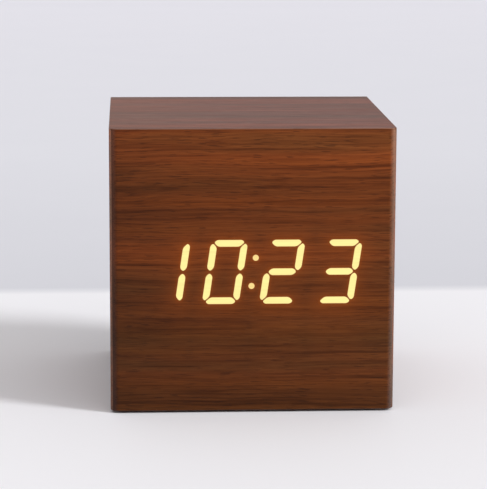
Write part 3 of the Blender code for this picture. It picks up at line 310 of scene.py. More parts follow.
    def edge_sheen_share(self, tree: Tree) -> Socket:
        """Find the rounded edges, which get a painted sheen for the light that the rounding catches.

        Args:
            tree: The node tree to add to.

        Returns:
            0 on a flat face and 0.6 at the middle of a rounded edge.
        """
        facing = add_node(tree, "ShaderNodeTexCoord").outputs["Normal"]
        size = add_node(tree, "ShaderNodeVectorMath", {"operation": "ABSOLUTE"}, {0: facing}).outputs[0]
        along = add_node(tree, "ShaderNodeSeparateXYZ", links={0: size}).outputs
        most = along["X"]
        for axis in ("Y", "Z"):
            larger = {"operation": "MAXIMUM"}
            most = add_node(tree, "ShaderNodeMath", larger, {0: most, 1: along[axis]}).outputs[0]
        turned = {"From Min": 0.99, "From Max": 0.75, "To Max": 0.6}
        return add_node(tree, "ShaderNodeMapRange", turned, {"Value": most}).outputs[0]

    def let_light_through(self, tree: Tree, shader: Node, colour: Socket) -> Socket:
        """Add the light that spreads inside the veneer round each lit bar, from the mesh's "glow" attribute.

        Args:
            tree: The node tree to add to.
            shader: The Principled shader, which gets the emission.
            colour: The wood's colour.

        Returns:
            The colour, which loses its blue where the light spreads.
        """
        glow = add_node(tree, "ShaderNodeAttribute", {"attribute_name": "glow"}).outputs["Fac"]
        half = add_node(tree, "ShaderNodeMath", {"operation": "MULTIPLY", 1: 0.6}, {0: glow}).outputs[0]
        warmed = {"data_type": "RGBA", 7: linear("#743a0a")}
        warm = add_node(tree, "ShaderNodeMix", warmed, {0: half, 6: colour}).outputs[2]
        strength = add_node(tree, "ShaderNodeMath", {"operation": "MULTIPLY", 1: 0.13}, {0: glow})
        shader.inputs["Emission Color"].default_value = linear("#e4601c")
        tree.links.new(strength.outputs[0], shader.inputs["Emission Strength"])
        return warm


@dataclass(frozen=True)
class Mottled(Finish):
    """One material whose tone, relief and gloss change in small patches. Sizes and depths are millimetres."""

    tones: Tones = ()
    patch: Size = (1.0, 1.0, 1.0)
    detail: float = 4.0
    rough: float = 0.5  # how strong the finer levels of the patches are
    relief: float = 0.5
    depth: float = 0.0
    gloss: tuple[float, float] = (0.85, 0.85)  # the shader's roughness at its least and its most
    gloss_patch: Size | None = None
    settings: tuple[tuple[str, float], ...] = ()

    def even(self) -> dict[str | int, Any]:
        """Give the settings, and the roughness for where it doesn't change."""
        return {"Roughness": self.gloss[0], **dict(self.settings)}

    def shade(self, tree: Tree, shader: Node) -> None:
        """Draw the tones, with the relief and the changes of gloss where there are any."""
        here = self.millimetres(tree)
        patches = self.patches(tree, here, self.patch, self.detail, self.rough).outputs["Fac"]
        tone = add_node(tree, "ShaderNodeValToRGB", {"ramp": self.tones}, {0: patches}).outputs[0]
        tree.links.new(tone, shader.inputs["Base Color"])
        if self.depth:
            height = {"Strength": self.relief, "Distance": self.depth * MM}
            bump = add_node(tree, "ShaderNodeBump", height, {"Height": patches})
            tree.links.new(bump.outputs[0], shader.inputs["Normal"])
        if self.gloss_patch:
            duller = self.patches(tree, here, self.gloss_patch, 1.0).outputs["Fac"]
            reach = {"To Min": self.gloss[0], "To Max": self.gloss[1]}
            rough = add_node(tree, "ShaderNodeMapRange", reach, {"Value": duller}).outputs[0]
            tree.links.new(rough, shader.inputs["Roughness"])


def plastic(name: str, colour: str, pit: float, depth: float, roughness: float) -> Mottled:
    """Give moulded or extruded plastic, on which the tool leaves tiny pits that break up the highlights.

    Args:
        name: The material's name.
        colour: Its colour.
        pit: A pit's width in millimetres.
        depth: A pit's depth in millimetres.
        roughness: The shader's roughness, which changes slowly with the flow of the plastic.

    Returns:
        The finish.
    """
    return Mottled(
        name,
        tones=((0.0, colour), (1.0, brighter(colour, 1.25, 0.004))),
        patch=(2 * pit,) * 3,
        detail=2.0,
        depth=depth,
        gloss=(roughness - 0.08, roughness + 0.08),
        gloss_patch=(25 / 3,) * 3,
        settings=(("IOR", 1.53),),
    )


def plated(name: str, colour: str, roughness: float, line: float) -> Mottled:
    """Give rolled or turned metal under a bright plating: fine tool lines and patches of slightly duller plate.

    Args:
        name: The material's name.
        colour: Its colour.
        roughness: The shader's roughness.
        line: The distance between tool lines in millimetres.

    Returns:
        The finish.
    """
    return Mottled(
        name,
        tones=((0.0, colour), (1.0, brighter(colour, 0.72))),
        patch=(10 / 7,) * 3,
        detail=3.0,
        gloss=(roughness - 0.08, roughness + 0.12),
        gloss_patch=(2.5, 2.5, line),
        settings=(("Metallic", 1.0),),
    )


@dataclass(frozen=True)
class PrintedSleeve(Finish):
    """A battery's printed shrink film: a pale grey body, a slate band at the positive end and a thin ring."""

    body: str = "#b9bec2"
    band: str = "#3d5560"
    ring: str = "#f1f2f0"

    def even(self) -> dict[str | int, Any]:
        """Give the film's gloss."""
        return {"Roughness": 0.28, "Coat Weight": 0.3, "Coat Roughness": 0.1}

    def shade(self, tree: Tree, shader: Node) -> None:
        """Print the colours along the cell's own Z, from its negative end, with a faint foil fleck."""
        here = self.millimetres(tree)
        height = add_node(tree, "ShaderNodeSeparateXYZ", links={0: here}).outputs["Z"]
        share = add_node(tree, "ShaderNodeMapRange", {"From Max": 50.0}, {"Value": height}).outputs[0]
        stops = ((0.0, self.band), (0.035, self.body), (0.66, self.ring), (0.68, self.band), (0.7, self.band))
        colours = add_node(tree, "ShaderNodeValToRGB", {"ramp": stops}, {0: share})
        colours.color_ramp.interpolation = "CONSTANT"
        fleck = self.patches(tree, here, (0.4, 0.4, 0.4), 2.0).outputs["Fac"]
        overlay = {"data_type": "RGBA", "blend_type": "OVERLAY", 0: 0.15}
        tone = add_node(tree, "ShaderNodeMix", overlay, {6: colours.outputs[0], 7: fleck}).outputs[2]
        tree.links.new(tone, shader.inputs["Base Color"])


@dataclass(frozen=True)
class LitResin(Finish):
    """Amber LED light seen through 0.6 mm of veneer: nearly white inside a bar, amber at its rim."""

    rim: str = "#eeb068"
    core: str = "#fff29a"
    fibre: Size = (25 / 3, 1.0, 5 / 11)

    def even(self) -> dict[str | int, Any]:
        """Give the dark wood that the light comes through."""
        return {"Base Color": linear("#2a1408"), "Roughness": 0.5}

    def shade(self, tree: Tree, shader: Node) -> None:
        """Light the surface from the mesh's "core" attribute, dimmed a little along the veneer's fibres."""
        core = add_node(tree, "ShaderNodeAttribute", {"attribute_name": "core"}).outputs["Fac"]
        colours = {"data_type": "RGBA", 6: linear(self.rim), 7: linear(self.core)}
        colour = add_node(tree, "ShaderNodeMix", colours, {0: core}).outputs[2]
        fibres = self.patches(tree, self.millimetres(tree), self.fibre, 2.0).outputs["Fac"]
        dim = {"From Min": 0.3, "From Max": 0.7, "To Min": 0.93, "To Max": 1.03}
        strength = add_node(tree, "ShaderNodeMapRange", dim, {"Value": fibres}).outputs[0]
        tree.links.new(colour, shader.inputs["Emission Color"])
        tree.links.new(strength, shader.inputs["Emission Strength"])


@dataclass(frozen=True)
class SolderMask(Finish):
    """Green solder mask over glass-fibre laminate: darker where there is no copper under it."""

    def even(self) -> dict[str | int, Any]:
        """Give the mask's gloss."""
        return {"Roughness": 0.3, "Coat Weight": 0.25, "Coat Roughness": 0.15}

    def shade(self, tree: Tree, shader: Node) -> None:
        """Draw blocky copper areas about 3 mm across, with the weave of the glass showing faintly."""
        here = self.millimetres(tree)
        blocks = {"Scale": 0.33, "distance": "CHEBYCHEV", "feature": "F1"}
        copper = add_node(tree, "ShaderNodeTexVoronoi", blocks, {"Vector": here}).outputs["Distance"]
        tones = {"ramp": ((0.3, "#0d4a2a"), (0.36, "#176b3c"))}
        tone = add_node(tree, "ShaderNodeValToRGB", tones, {0: copper}).outputs[0]
        weave = add_node(tree, "ShaderNodeTexChecker", {"Scale": 2.0}, {"Vector": here}).outputs["Fac"]
        overlay = {"data_type": "RGBA", "blend_type": "OVERLAY", 0: 0.06}
        woven = add_node(tree, "ShaderNodeMix", overlay, {6: tone, 7: weave}).outputs[2]
        tree.links.new(woven, shader.inputs["Base Color"])


@dataclass(frozen=True)
class PaleFloor(Finish):
    """A smooth painted studio floor, which turns greyer behind the object to stand in for a backdrop wall."""

    depth: float = 1200.0  # mm behind the object's middle, where the last tone is reached
    # painted shade of a backdrop wall: a step greyer 104 mm behind the middle, lightening further back
    tones: Tones = ((0.087, "#f2f3f6"), (0.092, "#d5d7dd"), (0.32, "#dee0e6"), (1.0, "#e3e4eb"))

    def even(self) -> dict[str | int, Any]:
        """Give the paint's dull gloss."""
        return {"Roughness": 0.75, "Specular IOR Level": 0.3}

    def shade(self, tree: Tree, shader: Node) -> None:
        """Draw the tones across the floor, with a faint mottle from the roller."""
        here = self.millimetres(tree)
        behind = add_node(tree, "ShaderNodeSeparateXYZ", links={0: here}).outputs["Y"]
        share = add_node(tree, "ShaderNodeMapRange", {"From Max": self.depth}, {"Value": behind}).outputs[0]
        tone = add_node(tree, "ShaderNodeValToRGB", {"ramp": self.tones}, {0: share}).outputs[0]
        mottle = self.patches(tree, here, (50.0, 50.0, 50.0), 2.0).outputs["Fac"]
        soft = {"data_type": "RGBA", "blend_type": "SOFT_LIGHT", 0: 0.04}
        rolled = add_node(tree, "ShaderNodeMix", soft, {6: tone, 7: mottle}).outputs[2]
        tree.links.new(rolled, shader.inputs["Base Color"])


WALNUT_FRONT = WalnutVeneer(
    "walnut_veneer_front",
    lit=True,
    # painted shade, darker towards the bottom in uneven level steps
    shade_by_height=(
        (0.07, "#9db6d4"),
        (0.15, "#c1d2de"),
        (0.26, "#9bbbd6"),
        (0.35, "#b2c4d6"),
        (0.46, "#bcd0da"),
        (0.57, "#ebeeef"),
        (0.64, "#c8d4dc"),
        (0.8, "#d3dcde"),
        (0.94, "#ffffff"),
    ),
    # painted light: dark in a strip at the left edge, lighter towards the right
    ends=((0.012, "#9a6750"), (0.036, "#e0e0e1"), (1.0, "#ffffff")),
)
WALNUT_LEVEL = WalnutVeneer(
    "walnut_veneer_level",
    offset=(31.0, 7.0, 0.0),
    # painted shade by height: the bottom board darker than the top one
    shade_by_height=((0.0, "#bcc4cc"), (1.0, "#dcd6d6")),
    # painted shade along the grain: the boards darken and warm from their left edge to their middle
    ends=((0.5, "#fbfdff"), (1.0, "#f0e2d6")),
)
# The side boards keep the default painted shade by height and painted light along the grain.
WALNUT_SIDE = WalnutVeneer("walnut_veneer_side", grain=Grain.ALONG_Y, offset=(13.0, 5.0, 0.0))
# Sawn medium-density fibreboard, stained brown: felted short fibres and a dry, dusty face.
FIBREBOARD = Mottled(
    "stained_fibreboard",
    tones=((0.35, "#5a3b28"), (0.7, "#7a563c")),
    patch=(0.25, 0.25, 0.25),
    rough=0.7,
    relief=0.4,
    depth=0.04,
)
# Planed pine: pale yellow earlywood and thin brown latewood lines along X, 2 mm apart.
PINE = Mottled(
    "planed_pine",
    tones=((0.4, "#b88a55"), (0.5, "#dcb982"), (0.65, "#e6c995")),
    patch=(100.0, 2.0, 2.0),
    detail=3.0,
    gloss=(0.7, 0.7),
)
# Die-cut black rubber: matt, with a faint grey bloom in patches of about 1 mm.
BLACK_RUBBER = Mottled("die_cut_rubber", tones=((0.35, "#121212"), (0.75, "#262625")), relief=0.3, depth=0.02)
# Clear amber casting resin with fine diffusing powder in it, clouded in patches of about 2 mm.
CAST_RESIN = Mottled(
    "amber_casting_resin",
    tones=((0.3, "#e0a040"), (0.7, "#f6cf7a")),
    patch=(2.0, 2.0, 2.0),
    detail=3.0,
    gloss=(0.15, 0.15),
    settings=(("IOR", 1.52), ("Transmission Weight", 0.35)),
)
BLACK_ABS = plastic("black_abs", "#1a1a1c", pit=0.16, depth=0.012, roughness=0.5)
BUTTON_ABS = plastic("button_abs", "#2b2b2e", pit=0.1, depth=0.006, roughness=0.38)
BLACK_NYLON = plastic("black_nylon", "#151515", pit=0.1, depth=0.005, roughness=0.42)
WHITE_POLYCARBONATE = plastic("white_polycarbonate", "#e4e3dd", pit=0.3, depth=0.004, roughness=0.35)
CHIP_EPOXY = plastic("chip_epoxy", "#1c1c1d", pit=0.08, depth=0.008, roughness=0.6)
SLEEVE_FILM = plastic("capacitor_sleeve", "#1a1f33", pit=0.5, depth=0.002, roughness=0.25)
GREY_PVC = plastic("grey_pvc", "#8d8f94", pit=0.4, depth=0.004, roughness=0.5)
RED_PVC = plastic("red_pvc", "#a81e18", pit=0.4, depth=0.004, roughness=0.45)
BLACK_PVC = plastic("black_pvc", "#1b1b1b", pit=0.4, depth=0.004, roughness=0.45)
ZINC_STEEL = plated("zinc_plated_steel", "#c4c7cb", roughness=0.3, line=0.12)
TIN_PLATE = plated("tin_plate", "#d0d1d2", roughness=0.24, line=0.3)
NICKEL_STRIP = plated("nickel_strip", "#d2cbb9", roughness=0.22, line=0.2)
SPRING_WIRE = plated("nickel_spring_wire", "#cfcac0", roughness=0.2, line=0.4)
GOLD_FLASH = plated("gold_flash", "#e2b85a", roughness=0.25, line=0.2)
CELL_SLEEVE = PrintedSleeve("battery_sleeve")
LIT_RESIN = LitResin("lit_amber_resin")
SOLDER_MASK = SolderMask("green_solder_mask")
PALE_FLOOR = PaleFloor("painted_floor")

# ---- Shapes ----------------------------------------------------------------------------------------------


def face_out(bm: Shape) -> None:
    """Turn every face of a closed shape outwards."""
    bmesh.ops.recalc_face_normals(bm, faces=bm.faces)
    if bm.calc_volume(signed=True) < 0:
        bmesh.ops.reverse_faces(bm, faces=bm.faces)


def skin(rings: Sequence[Sequence[Sequence[float]]], closed: bool = False) -> Shape:
    """Stretch faces from ring to ring.

    Args:
        rings: Rings with the same number of points, or with a single point for a tip.
        closed: Whether the last ring meets the first, in place of a face over each end.

    Returns:
        A closed bmesh.
    """
    bm = bmesh.new()
    made = [[bm.verts.new(point) for point in ring] for ring in rings]
    if not closed:
        for ring in (made[0], made[-1]):
            if len(ring) > 1:
                bm.faces.new(ring)
    for near, far in zip(made, made[1:] + (made[:1] if closed else [])):
        for k in range(max(len(near), len(far))):
            below = (near[k % len(near)], near[(k + 1) % len(near)])
            above = (far[(k + 1) % len(far)], far[k % len(far)])
            bm.faces.new(dict.fromkeys(below + above))
    face_out(bm)
    return bm


def extrude(outline: Sequence[Sequence[float]], axis: str, start: float, end: float) -> Shape:
    """Extrude an outline along an axis.

    Args:
        outline: Points in the plane across the axis: (y, z) for X, (x, z) for Y and (x, y) for Z.
        axis: "X", "Y" or "Z".
        start: Where the shape starts on the axis.
        end: Where it ends.

    Returns:
        A closed bmesh.
    """
    order = {"X": (2, 0, 1), "Y": (0, 2, 1), "Z": (0, 1, 2)}[axis]
    return skin([[[(u, v, along)[i] for i in order] for u, v in outline] for along in (start, end)])


def box(low: Sequence[float], high: Sequence[float]) -> Shape:
    """Make a box between two corners."""
    outline = [(low[0], low[2]), (high[0], low[2]), (high[0], high[2]), (low[0], high[2])]
    return extrude(outline, "Y", low[1], high[1])


def circle(radius: float, steps: int) -> list[Point]:
    """Give the points of a circle about the origin, or the one point of a circle without a radius."""
    turns = [math.tau * k / steps for k in range(steps)] if radius > 0 else [0.0]
    return [(radius * math.cos(turn), radius * math.sin(turn)) for turn in turns]


def rounded_outline(half_width: float, low: float, high: float, radius: float, steps: int = 6) -> list[Point]:
    """Give the outline of a rectangle with round corners.

    Args:
        half_width: Half its width.
        low: Its lower edge.
        high: Its upper edge.
        radius: The corners' radius.
        steps: Straight steps in each corner.

    Returns:
        Points, counter-clockwise.
    """
    points = []
    across, top, bottom = half_width - radius, high - radius, low + radius
    for corner, (x, z) in enumerate(((across, top), (-across, top), (-across, bottom), (across, bottom))):
        for k in range(steps + 1):
            angle = math.pi / 2 * (corner + k / steps)
            points.append((x + radius * math.cos(angle), z + radius * math.sin(angle)))
    return points


def eased_corner(
    before: Sequence[float], corner: Sequence[float], after: Sequence[float], reach: float, steps: int
) -> list[Point]:
    """Round one corner of an outline.

    Args:
        before: The corner before it.
        corner: The corner.
        after: The corner after it.
        reach: How far the rounding reaches along each side.
        steps: Straight steps in the rounding.

    Returns:
        The rounding's points.
    """
    here = Vector(corner[:2])
    back, on = ((Vector(point[:2]) - here).normalized() * reach for point in (before, after))
    shares = [k / steps for k in range(steps + 1)]
    return [tuple(here + back * (1 - share) ** 2 + on * share**2) for share in shares]


def lathe(profile: Sequence[Point], steps: int = 48) -> Shape:
    """Turn a profile of (radius, height) points, which starts and ends on the axis, about Z."""
    return skin([[(x, y, height) for x, y in circle(radius, steps)] for radius, height in profile])


def rounded_profile(corners: Sequence[tuple[float, float, float]], steps: int = 4) -> list[Point]:
    """Round the corners of a turned profile.

    Args:
        corners: (radius, height, rounding) for each corner, the first and the last with a rounding of 0.
        steps: Straight steps in each rounding.

    Returns:
        The profile's points.
    """
    points: list[Point] = []
    for i, (radius, height, rounding) in enumerate(corners):
        if rounding:
            points += eased_corner(corners[i - 1], corners[i], corners[i + 1], rounding, steps)
        else:
            points.append((radius, height))
    return points


def tube(path: Sequence[Vector], radius: float, sides: int = 10) -> Shape:
    """Sweep a round section along a path.

    Args:
        path: The middle line's points.
        radius: The section's radius.
        sides: The section's sides.

    Returns:
        A closed bmesh.
    """
    rings = []
    across = Vector((0, 0, 1))
    for i, point in enumerate(path):
        along = (path[min(i + 1, len(path) - 1)] - path[max(i - 1, 0)]).normalized()
        across = (across - along * across.dot(along)).normalized()
        other = along.cross(across)
        rings.append([point + across * u + other * v for u, v in circle(radius, sides)])
    return skin(rings)


def turn_to(direction: Sequence[float]) -> Matrix:
    """Give the turn that brings +Z to a direction."""
    return Vector((0, 0, 1)).rotation_difference(Vector(direction)).to_matrix().to_4x4()


def peg(
    radius: float,
    length: float,
    at: Sequence[float],
    direction: Sequence[float],
    steps: int = 32,
    start: float = 0.0,
) -> Shape:
    """Make a round peg, to add to a piece or to bore it with.

    Args:
        radius: Its radius.
        length: How far it reaches beyond its place.
        at: Its place.
        direction: The way that it points.
        steps: Steps round it.
        start: Where it starts, from its place.

    Returns:
        A closed bmesh.
    """
    return moved(lathe([(0, start), (radius, start), (radius, length), (0, length)], steps), at, direction)


def moved(bm: Shape, at: Sequence[float], direction: Sequence[float]) -> Shape:
    """Turn a shape's +Z to a direction and move it to a place."""
    bmesh.ops.transform(bm, matrix=Matrix.Translation(Vector(at)) @ turn_to(direction), verts=bm.verts)
    face_out(bm)
    return bm


def as_mesh(bm: Shape, name: str) -> bpy.types.Mesh:
    """Turn a shape into a mesh, and free it."""
    mesh = bpy.data.meshes.new(name)
    bm.to_mesh(mesh)
    bm.free()
    return mesh


def linked(name: str, data: bpy.types.ID) -> bpy.types.Object:
    """Make an object of a mesh, a light or a camera, and put it in the scene."""
    obj = bpy.data.objects.new(name, data)
    bpy.context.scene.collection.objects.link(obj)
    return obj


def joined(shapes: Iterable[Shape]) -> Shape:
    """Gather several shapes in one bmesh, freeing them."""
    whole = bmesh.new()
    for shape in shapes:
        mesh = as_mesh(shape, "part")
        whole.from_mesh(mesh)
        bpy.data.meshes.remove(mesh)
    return whole


def middle_of(node: str) -> Vector:
    """Give the middle of a CAD node's box."""
    low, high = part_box(node)
    return (low + high) / 2


def second_finish(obj: bpy.types.Object, finish: Finish, chosen: Callable[[Vector], bool]) -> None:
    """Give another finish to the faces whose middles are chosen."""
    obj.data.materials.append(finish.material())
    for polygon in obj.data.polygons:
        if chosen(polygon.center):
            polygon.material_index = 1


@dataclass
class Piece:
    """One visible piece: its mesh, its finish, the body it rides on and the CAD nodes that it stands for."""

    name: str
    shape: Shape
    finish: Finish
    body: str
    stands_for: tuple[str, ...] = ()
    slot: str | None = None
    at: Sequence[float] = (0.0, 0.0, 0.0)
    direction: Sequence[float] | None = None
    smooth: bool = True
    sharp: float = 35.0  # degrees
    bevel: float = 0.0
    joins: Sequence[Shape] = ()
    cuts: Sequence[Shape] = ()
    bounds: Sequence[Shape] = ()  # what the piece is trimmed to

    def build(self) -> bpy.types.Object:
        """Make the object, join and cut it, soften its edges and let it ride on its body.

        Returns:
            The object.
        """
        mesh = as_mesh(self.shape, self.name)
        mesh.materials.append(self.finish.material())
        obj = linked(self.name, mesh)
        for operation, shapes in (("UNION", self.joins), ("DIFFERENCE", self.cuts), ("INTERSECT", self.bounds)):
            for shape in shapes:
                self._combine(obj, shape, operation)
        if self.bevel:
            self._soften(obj)
        if self.smooth:
            obj.data.shade_smooth()
            obj.data.set_sharp_from_angle(angle=math.radians(self.sharp))
            even = obj.modifiers.new("even_shading", "WEIGHTED_NORMAL")
            even.keep_sharp = True
        obj.location = Vector(self.at)
        if self.direction is not None:
            obj.rotation_euler = turn_to(self.direction).to_euler()
        bpy.context.view_layer.update()
        if self.stands_for:
            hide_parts(*self.stands_for)
        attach(obj, self.body)
        LOG.info("piece %s rides on %s", self.name, self.body)
        return obj

    def _soften(self, obj: bpy.types.Object) -> None:
        """Round the sharp edges and keep the result."""
        rounding = obj.modifiers.new("rounding", "BEVEL")
        rounding.width, rounding.segments = self.bevel, 2
        rounding.limit_method, rounding.angle_limit = "ANGLE", math.radians(40)
        self._apply(obj)

    def _combine(self, obj: bpy.types.Object, shape: Shape, operation: str) -> None:
        """Join a shape to the object, take it away or trim to it, and keep the result."""
        tool = linked("tool", as_mesh(shape, "tool"))
        boolean = obj.modifiers.new("boolean", "BOOLEAN")
        boolean.operation, boolean.solver, boolean.object = operation, "EXACT", tool
        self._apply(obj)
        bpy.data.meshes.remove(tool.data)

    @staticmethod
    def _apply(obj: bpy.types.Object) -> None:
        """Keep what the object's modifiers make as its own mesh."""
        bpy.context.view_layer.update()
        evaluated = obj.evaluated_get(bpy.context.evaluated_depsgraph_get())
        made = bpy.data.meshes.new_from_object(evaluated)
        old = obj.data
        obj.modifiers.clear()
        obj.data = made
        bpy.data.meshes.remove(old)


# ---- Display ---------------------------------------------------------------------------------------------


class Digit(Enum):
    """The digits shown, each by the letters of its lit bars: a is the top, then clockwise, and g the middle."""

    ONE = "bc"
    ZERO = "abcdef"
    TWO = "abged"
    THREE = "abgcd"


@dataclass
class LitDigits:
    """The time that shines through the veneer, as one thin piece, and the light's spread round it."""

    shown: tuple[Digit, ...] = (Digit.ONE, Digit.ZERO, Digit.TWO, Digit.THREE)
    pitch: float = 12.62 * MM
    column: float = 3.34 * MM  # from a digit's middle to the centre-line of its upright bars
    row: float = 6.41 * MM  # from a digit's middle to the centre-line of its top bar
    bar: float = 1.5 * MM
    gap: float = 0.26 * MM
    corner: float = 0.2 * MM  # how far the outer corners pass the crossing of the centre-lines
    rounding: float = 0.55 * MM
    slant: float = 0.147
    dot_radius: float = 0.68 * MM
    dot_rise: float = 3.15 * MM
    dot_level: float = 0.62  # a dot's chip is dimmer than a bar's
    rim: float = 0.27 * MM
    proud: float = 0.03 * MM
    middle_x: float = 0.12 * MM
    middle_z: float = 31.8 * MM

    def bars(self) -> dict[str, list[Point]]:
        """Give the outline of each of an upright digit's bars, about the digit's middle.

        Returns:
            Points by the bar's letter.
        """
        half, side = self.bar / 2, self.gap / math.sqrt(2)
        far, near, corner = (self.corner + side) / 2, (self.corner - side) / 2, self.corner - half
        column, row = self.column, self.row
        end = [(column + corner, row + half), (column + near, row + far), (column - half - side, row - half)]
        top = end + [(-x, z) for x, z in reversed(end)]
        right = [(column - half, row - half - side), (column + far, row + near), (column + half, row + corner)]
        right += [(column + half, side + half), (column, side), (column - half, side + half)]
        point = [(column - side - half, half), (column - side, 0.0), (column - side - half, -half)]
        made = {"a": top, "d": [(x, -z) for x, z in top], "g": point + [(-x, -z) for x, z in point]}
        for letter, sx, sz in (("b", 1, 1), ("c", 1, -1), ("e", -1, -1), ("f", -1, 1)):
            made[letter] = [(sx * x, sz * z) for x, z in right]
        return made

    def outlines(self) -> list[tuple[list[Point], float]]:
        """Give every lit outline, leaning and in place, with its corners rounded.

        Returns:
            Pairs of a list of (x, z) points and how bright the outline's middle is, from 0 to 1.
        """
        bars, found = self.bars(), []
        for i, digit in enumerate(self.shown):
            middle = (i - (len(self.shown) - 1) / 2) * self.pitch
            for letter in digit.value:
                leaning = [(middle + x + self.slant * z, z) for x, z in bars[letter]]
                found.append((self.softened(leaning), 1.0))
        for rise in (self.dot_rise, -self.dot_rise):
            dot = [(self.slant * rise + x, rise + z) for x, z in circle(self.dot_radius, 32)]
            found.append((dot, self.dot_level))
        x0, z0 = self.middle_x, self.middle_z
        return [([(x0 + x, z0 + z) for x, z in outline], level) for outline, level in found]

    def softened(self, outline: Sequence[Point]) -> list[Point]:
        """Round an outline's corners, each by no more than its shorter side allows.

        Args:
            outline: The corners.

        Returns:
            The rounded outline's points.
        """
        points = [Vector(point) for point in outline]
        made: list[Point] = []
        for i, here in enumerate(points):
            before, after = points[i - 1], points[(i + 1) % len(points)]
            reach = min(self.rounding, (before - here).length * 0.49, (after - here).length * 0.49)
            made += eased_corner(before, here, after, reach, 4)
        return made

    def build(self, front_y: float) -> bpy.types.Object:
        """Make the lit bars and dots as one piece on the veneer's face.

        Args:
            front_y: The veneer's face.

        Returns:
            The object.
        """
        bm = bmesh.new()
        core = bm.verts.layers.float.new("core")
        for outline, level in self.outlines():
            back = [bm.verts.new((x, front_y + self.proud, z)) for x, z in outline]
            front = [bm.verts.new((x, front_y - self.proud * 0.6, z)) for x, z in outline]
            bm.faces.new(back)
            for i in range(len(outline)):
                j = (i + 1) % len(outline)
                bm.faces.new((back[i], back[j], front[j], front[i]))
            face = bm.faces.new(front)
            for share in (0.4, 0.6):
                bmesh.ops.inset_region(bm, faces=[face], thickness=self.rim * share, use_even_offset=True)
                for vert in face.verts:
                    vert.co.y = front_y - self.proud
                    vert[core] = 0.55 * level if share == 0.4 else level
        face_out(bm)
        return Piece("lit_digits", bm, LIT_RESIN, "case", slot="display_resin").build()

    def glow(self, places: np.ndarray) -> np.ndarray:
        """Work out how much light reaches places on the veneer's face.

        Args:
            places: (x, z) rows.

        Returns:
            The light at each place, from 0 to 1.
        """
        nearest = np.full(len(places), 1.0)
        for outline, _ in self.outlines():
            ring = np.array(outline)
            following = np.roll(ring, -1, axis=0)
            side = following - ring
            offset = places[:, None, :] - ring[None, :, :]
            along = np.clip((offset * side).sum(2) / np.maximum((side * side).sum(1), 1e-18), 0, 1)
            distance = np.linalg.norm(offset - along[..., None] * side, axis=2).min(1)
            cross = side[None, :, 0] * offset[..., 1] - side[None, :, 1] * offset[..., 0]
            inside = np.all(cross >= 0, axis=1) | np.all(cross <= 0, axis=1)
            nearest = np.minimum(nearest, np.where(inside, 0.0, distance))
        return 0.5 * np.exp(-nearest / (0.3 * MM)) + 0.5 * np.exp(-nearest / (3.0 * MM))


# ---- Case ------------------------------------------------------------------------------------------------


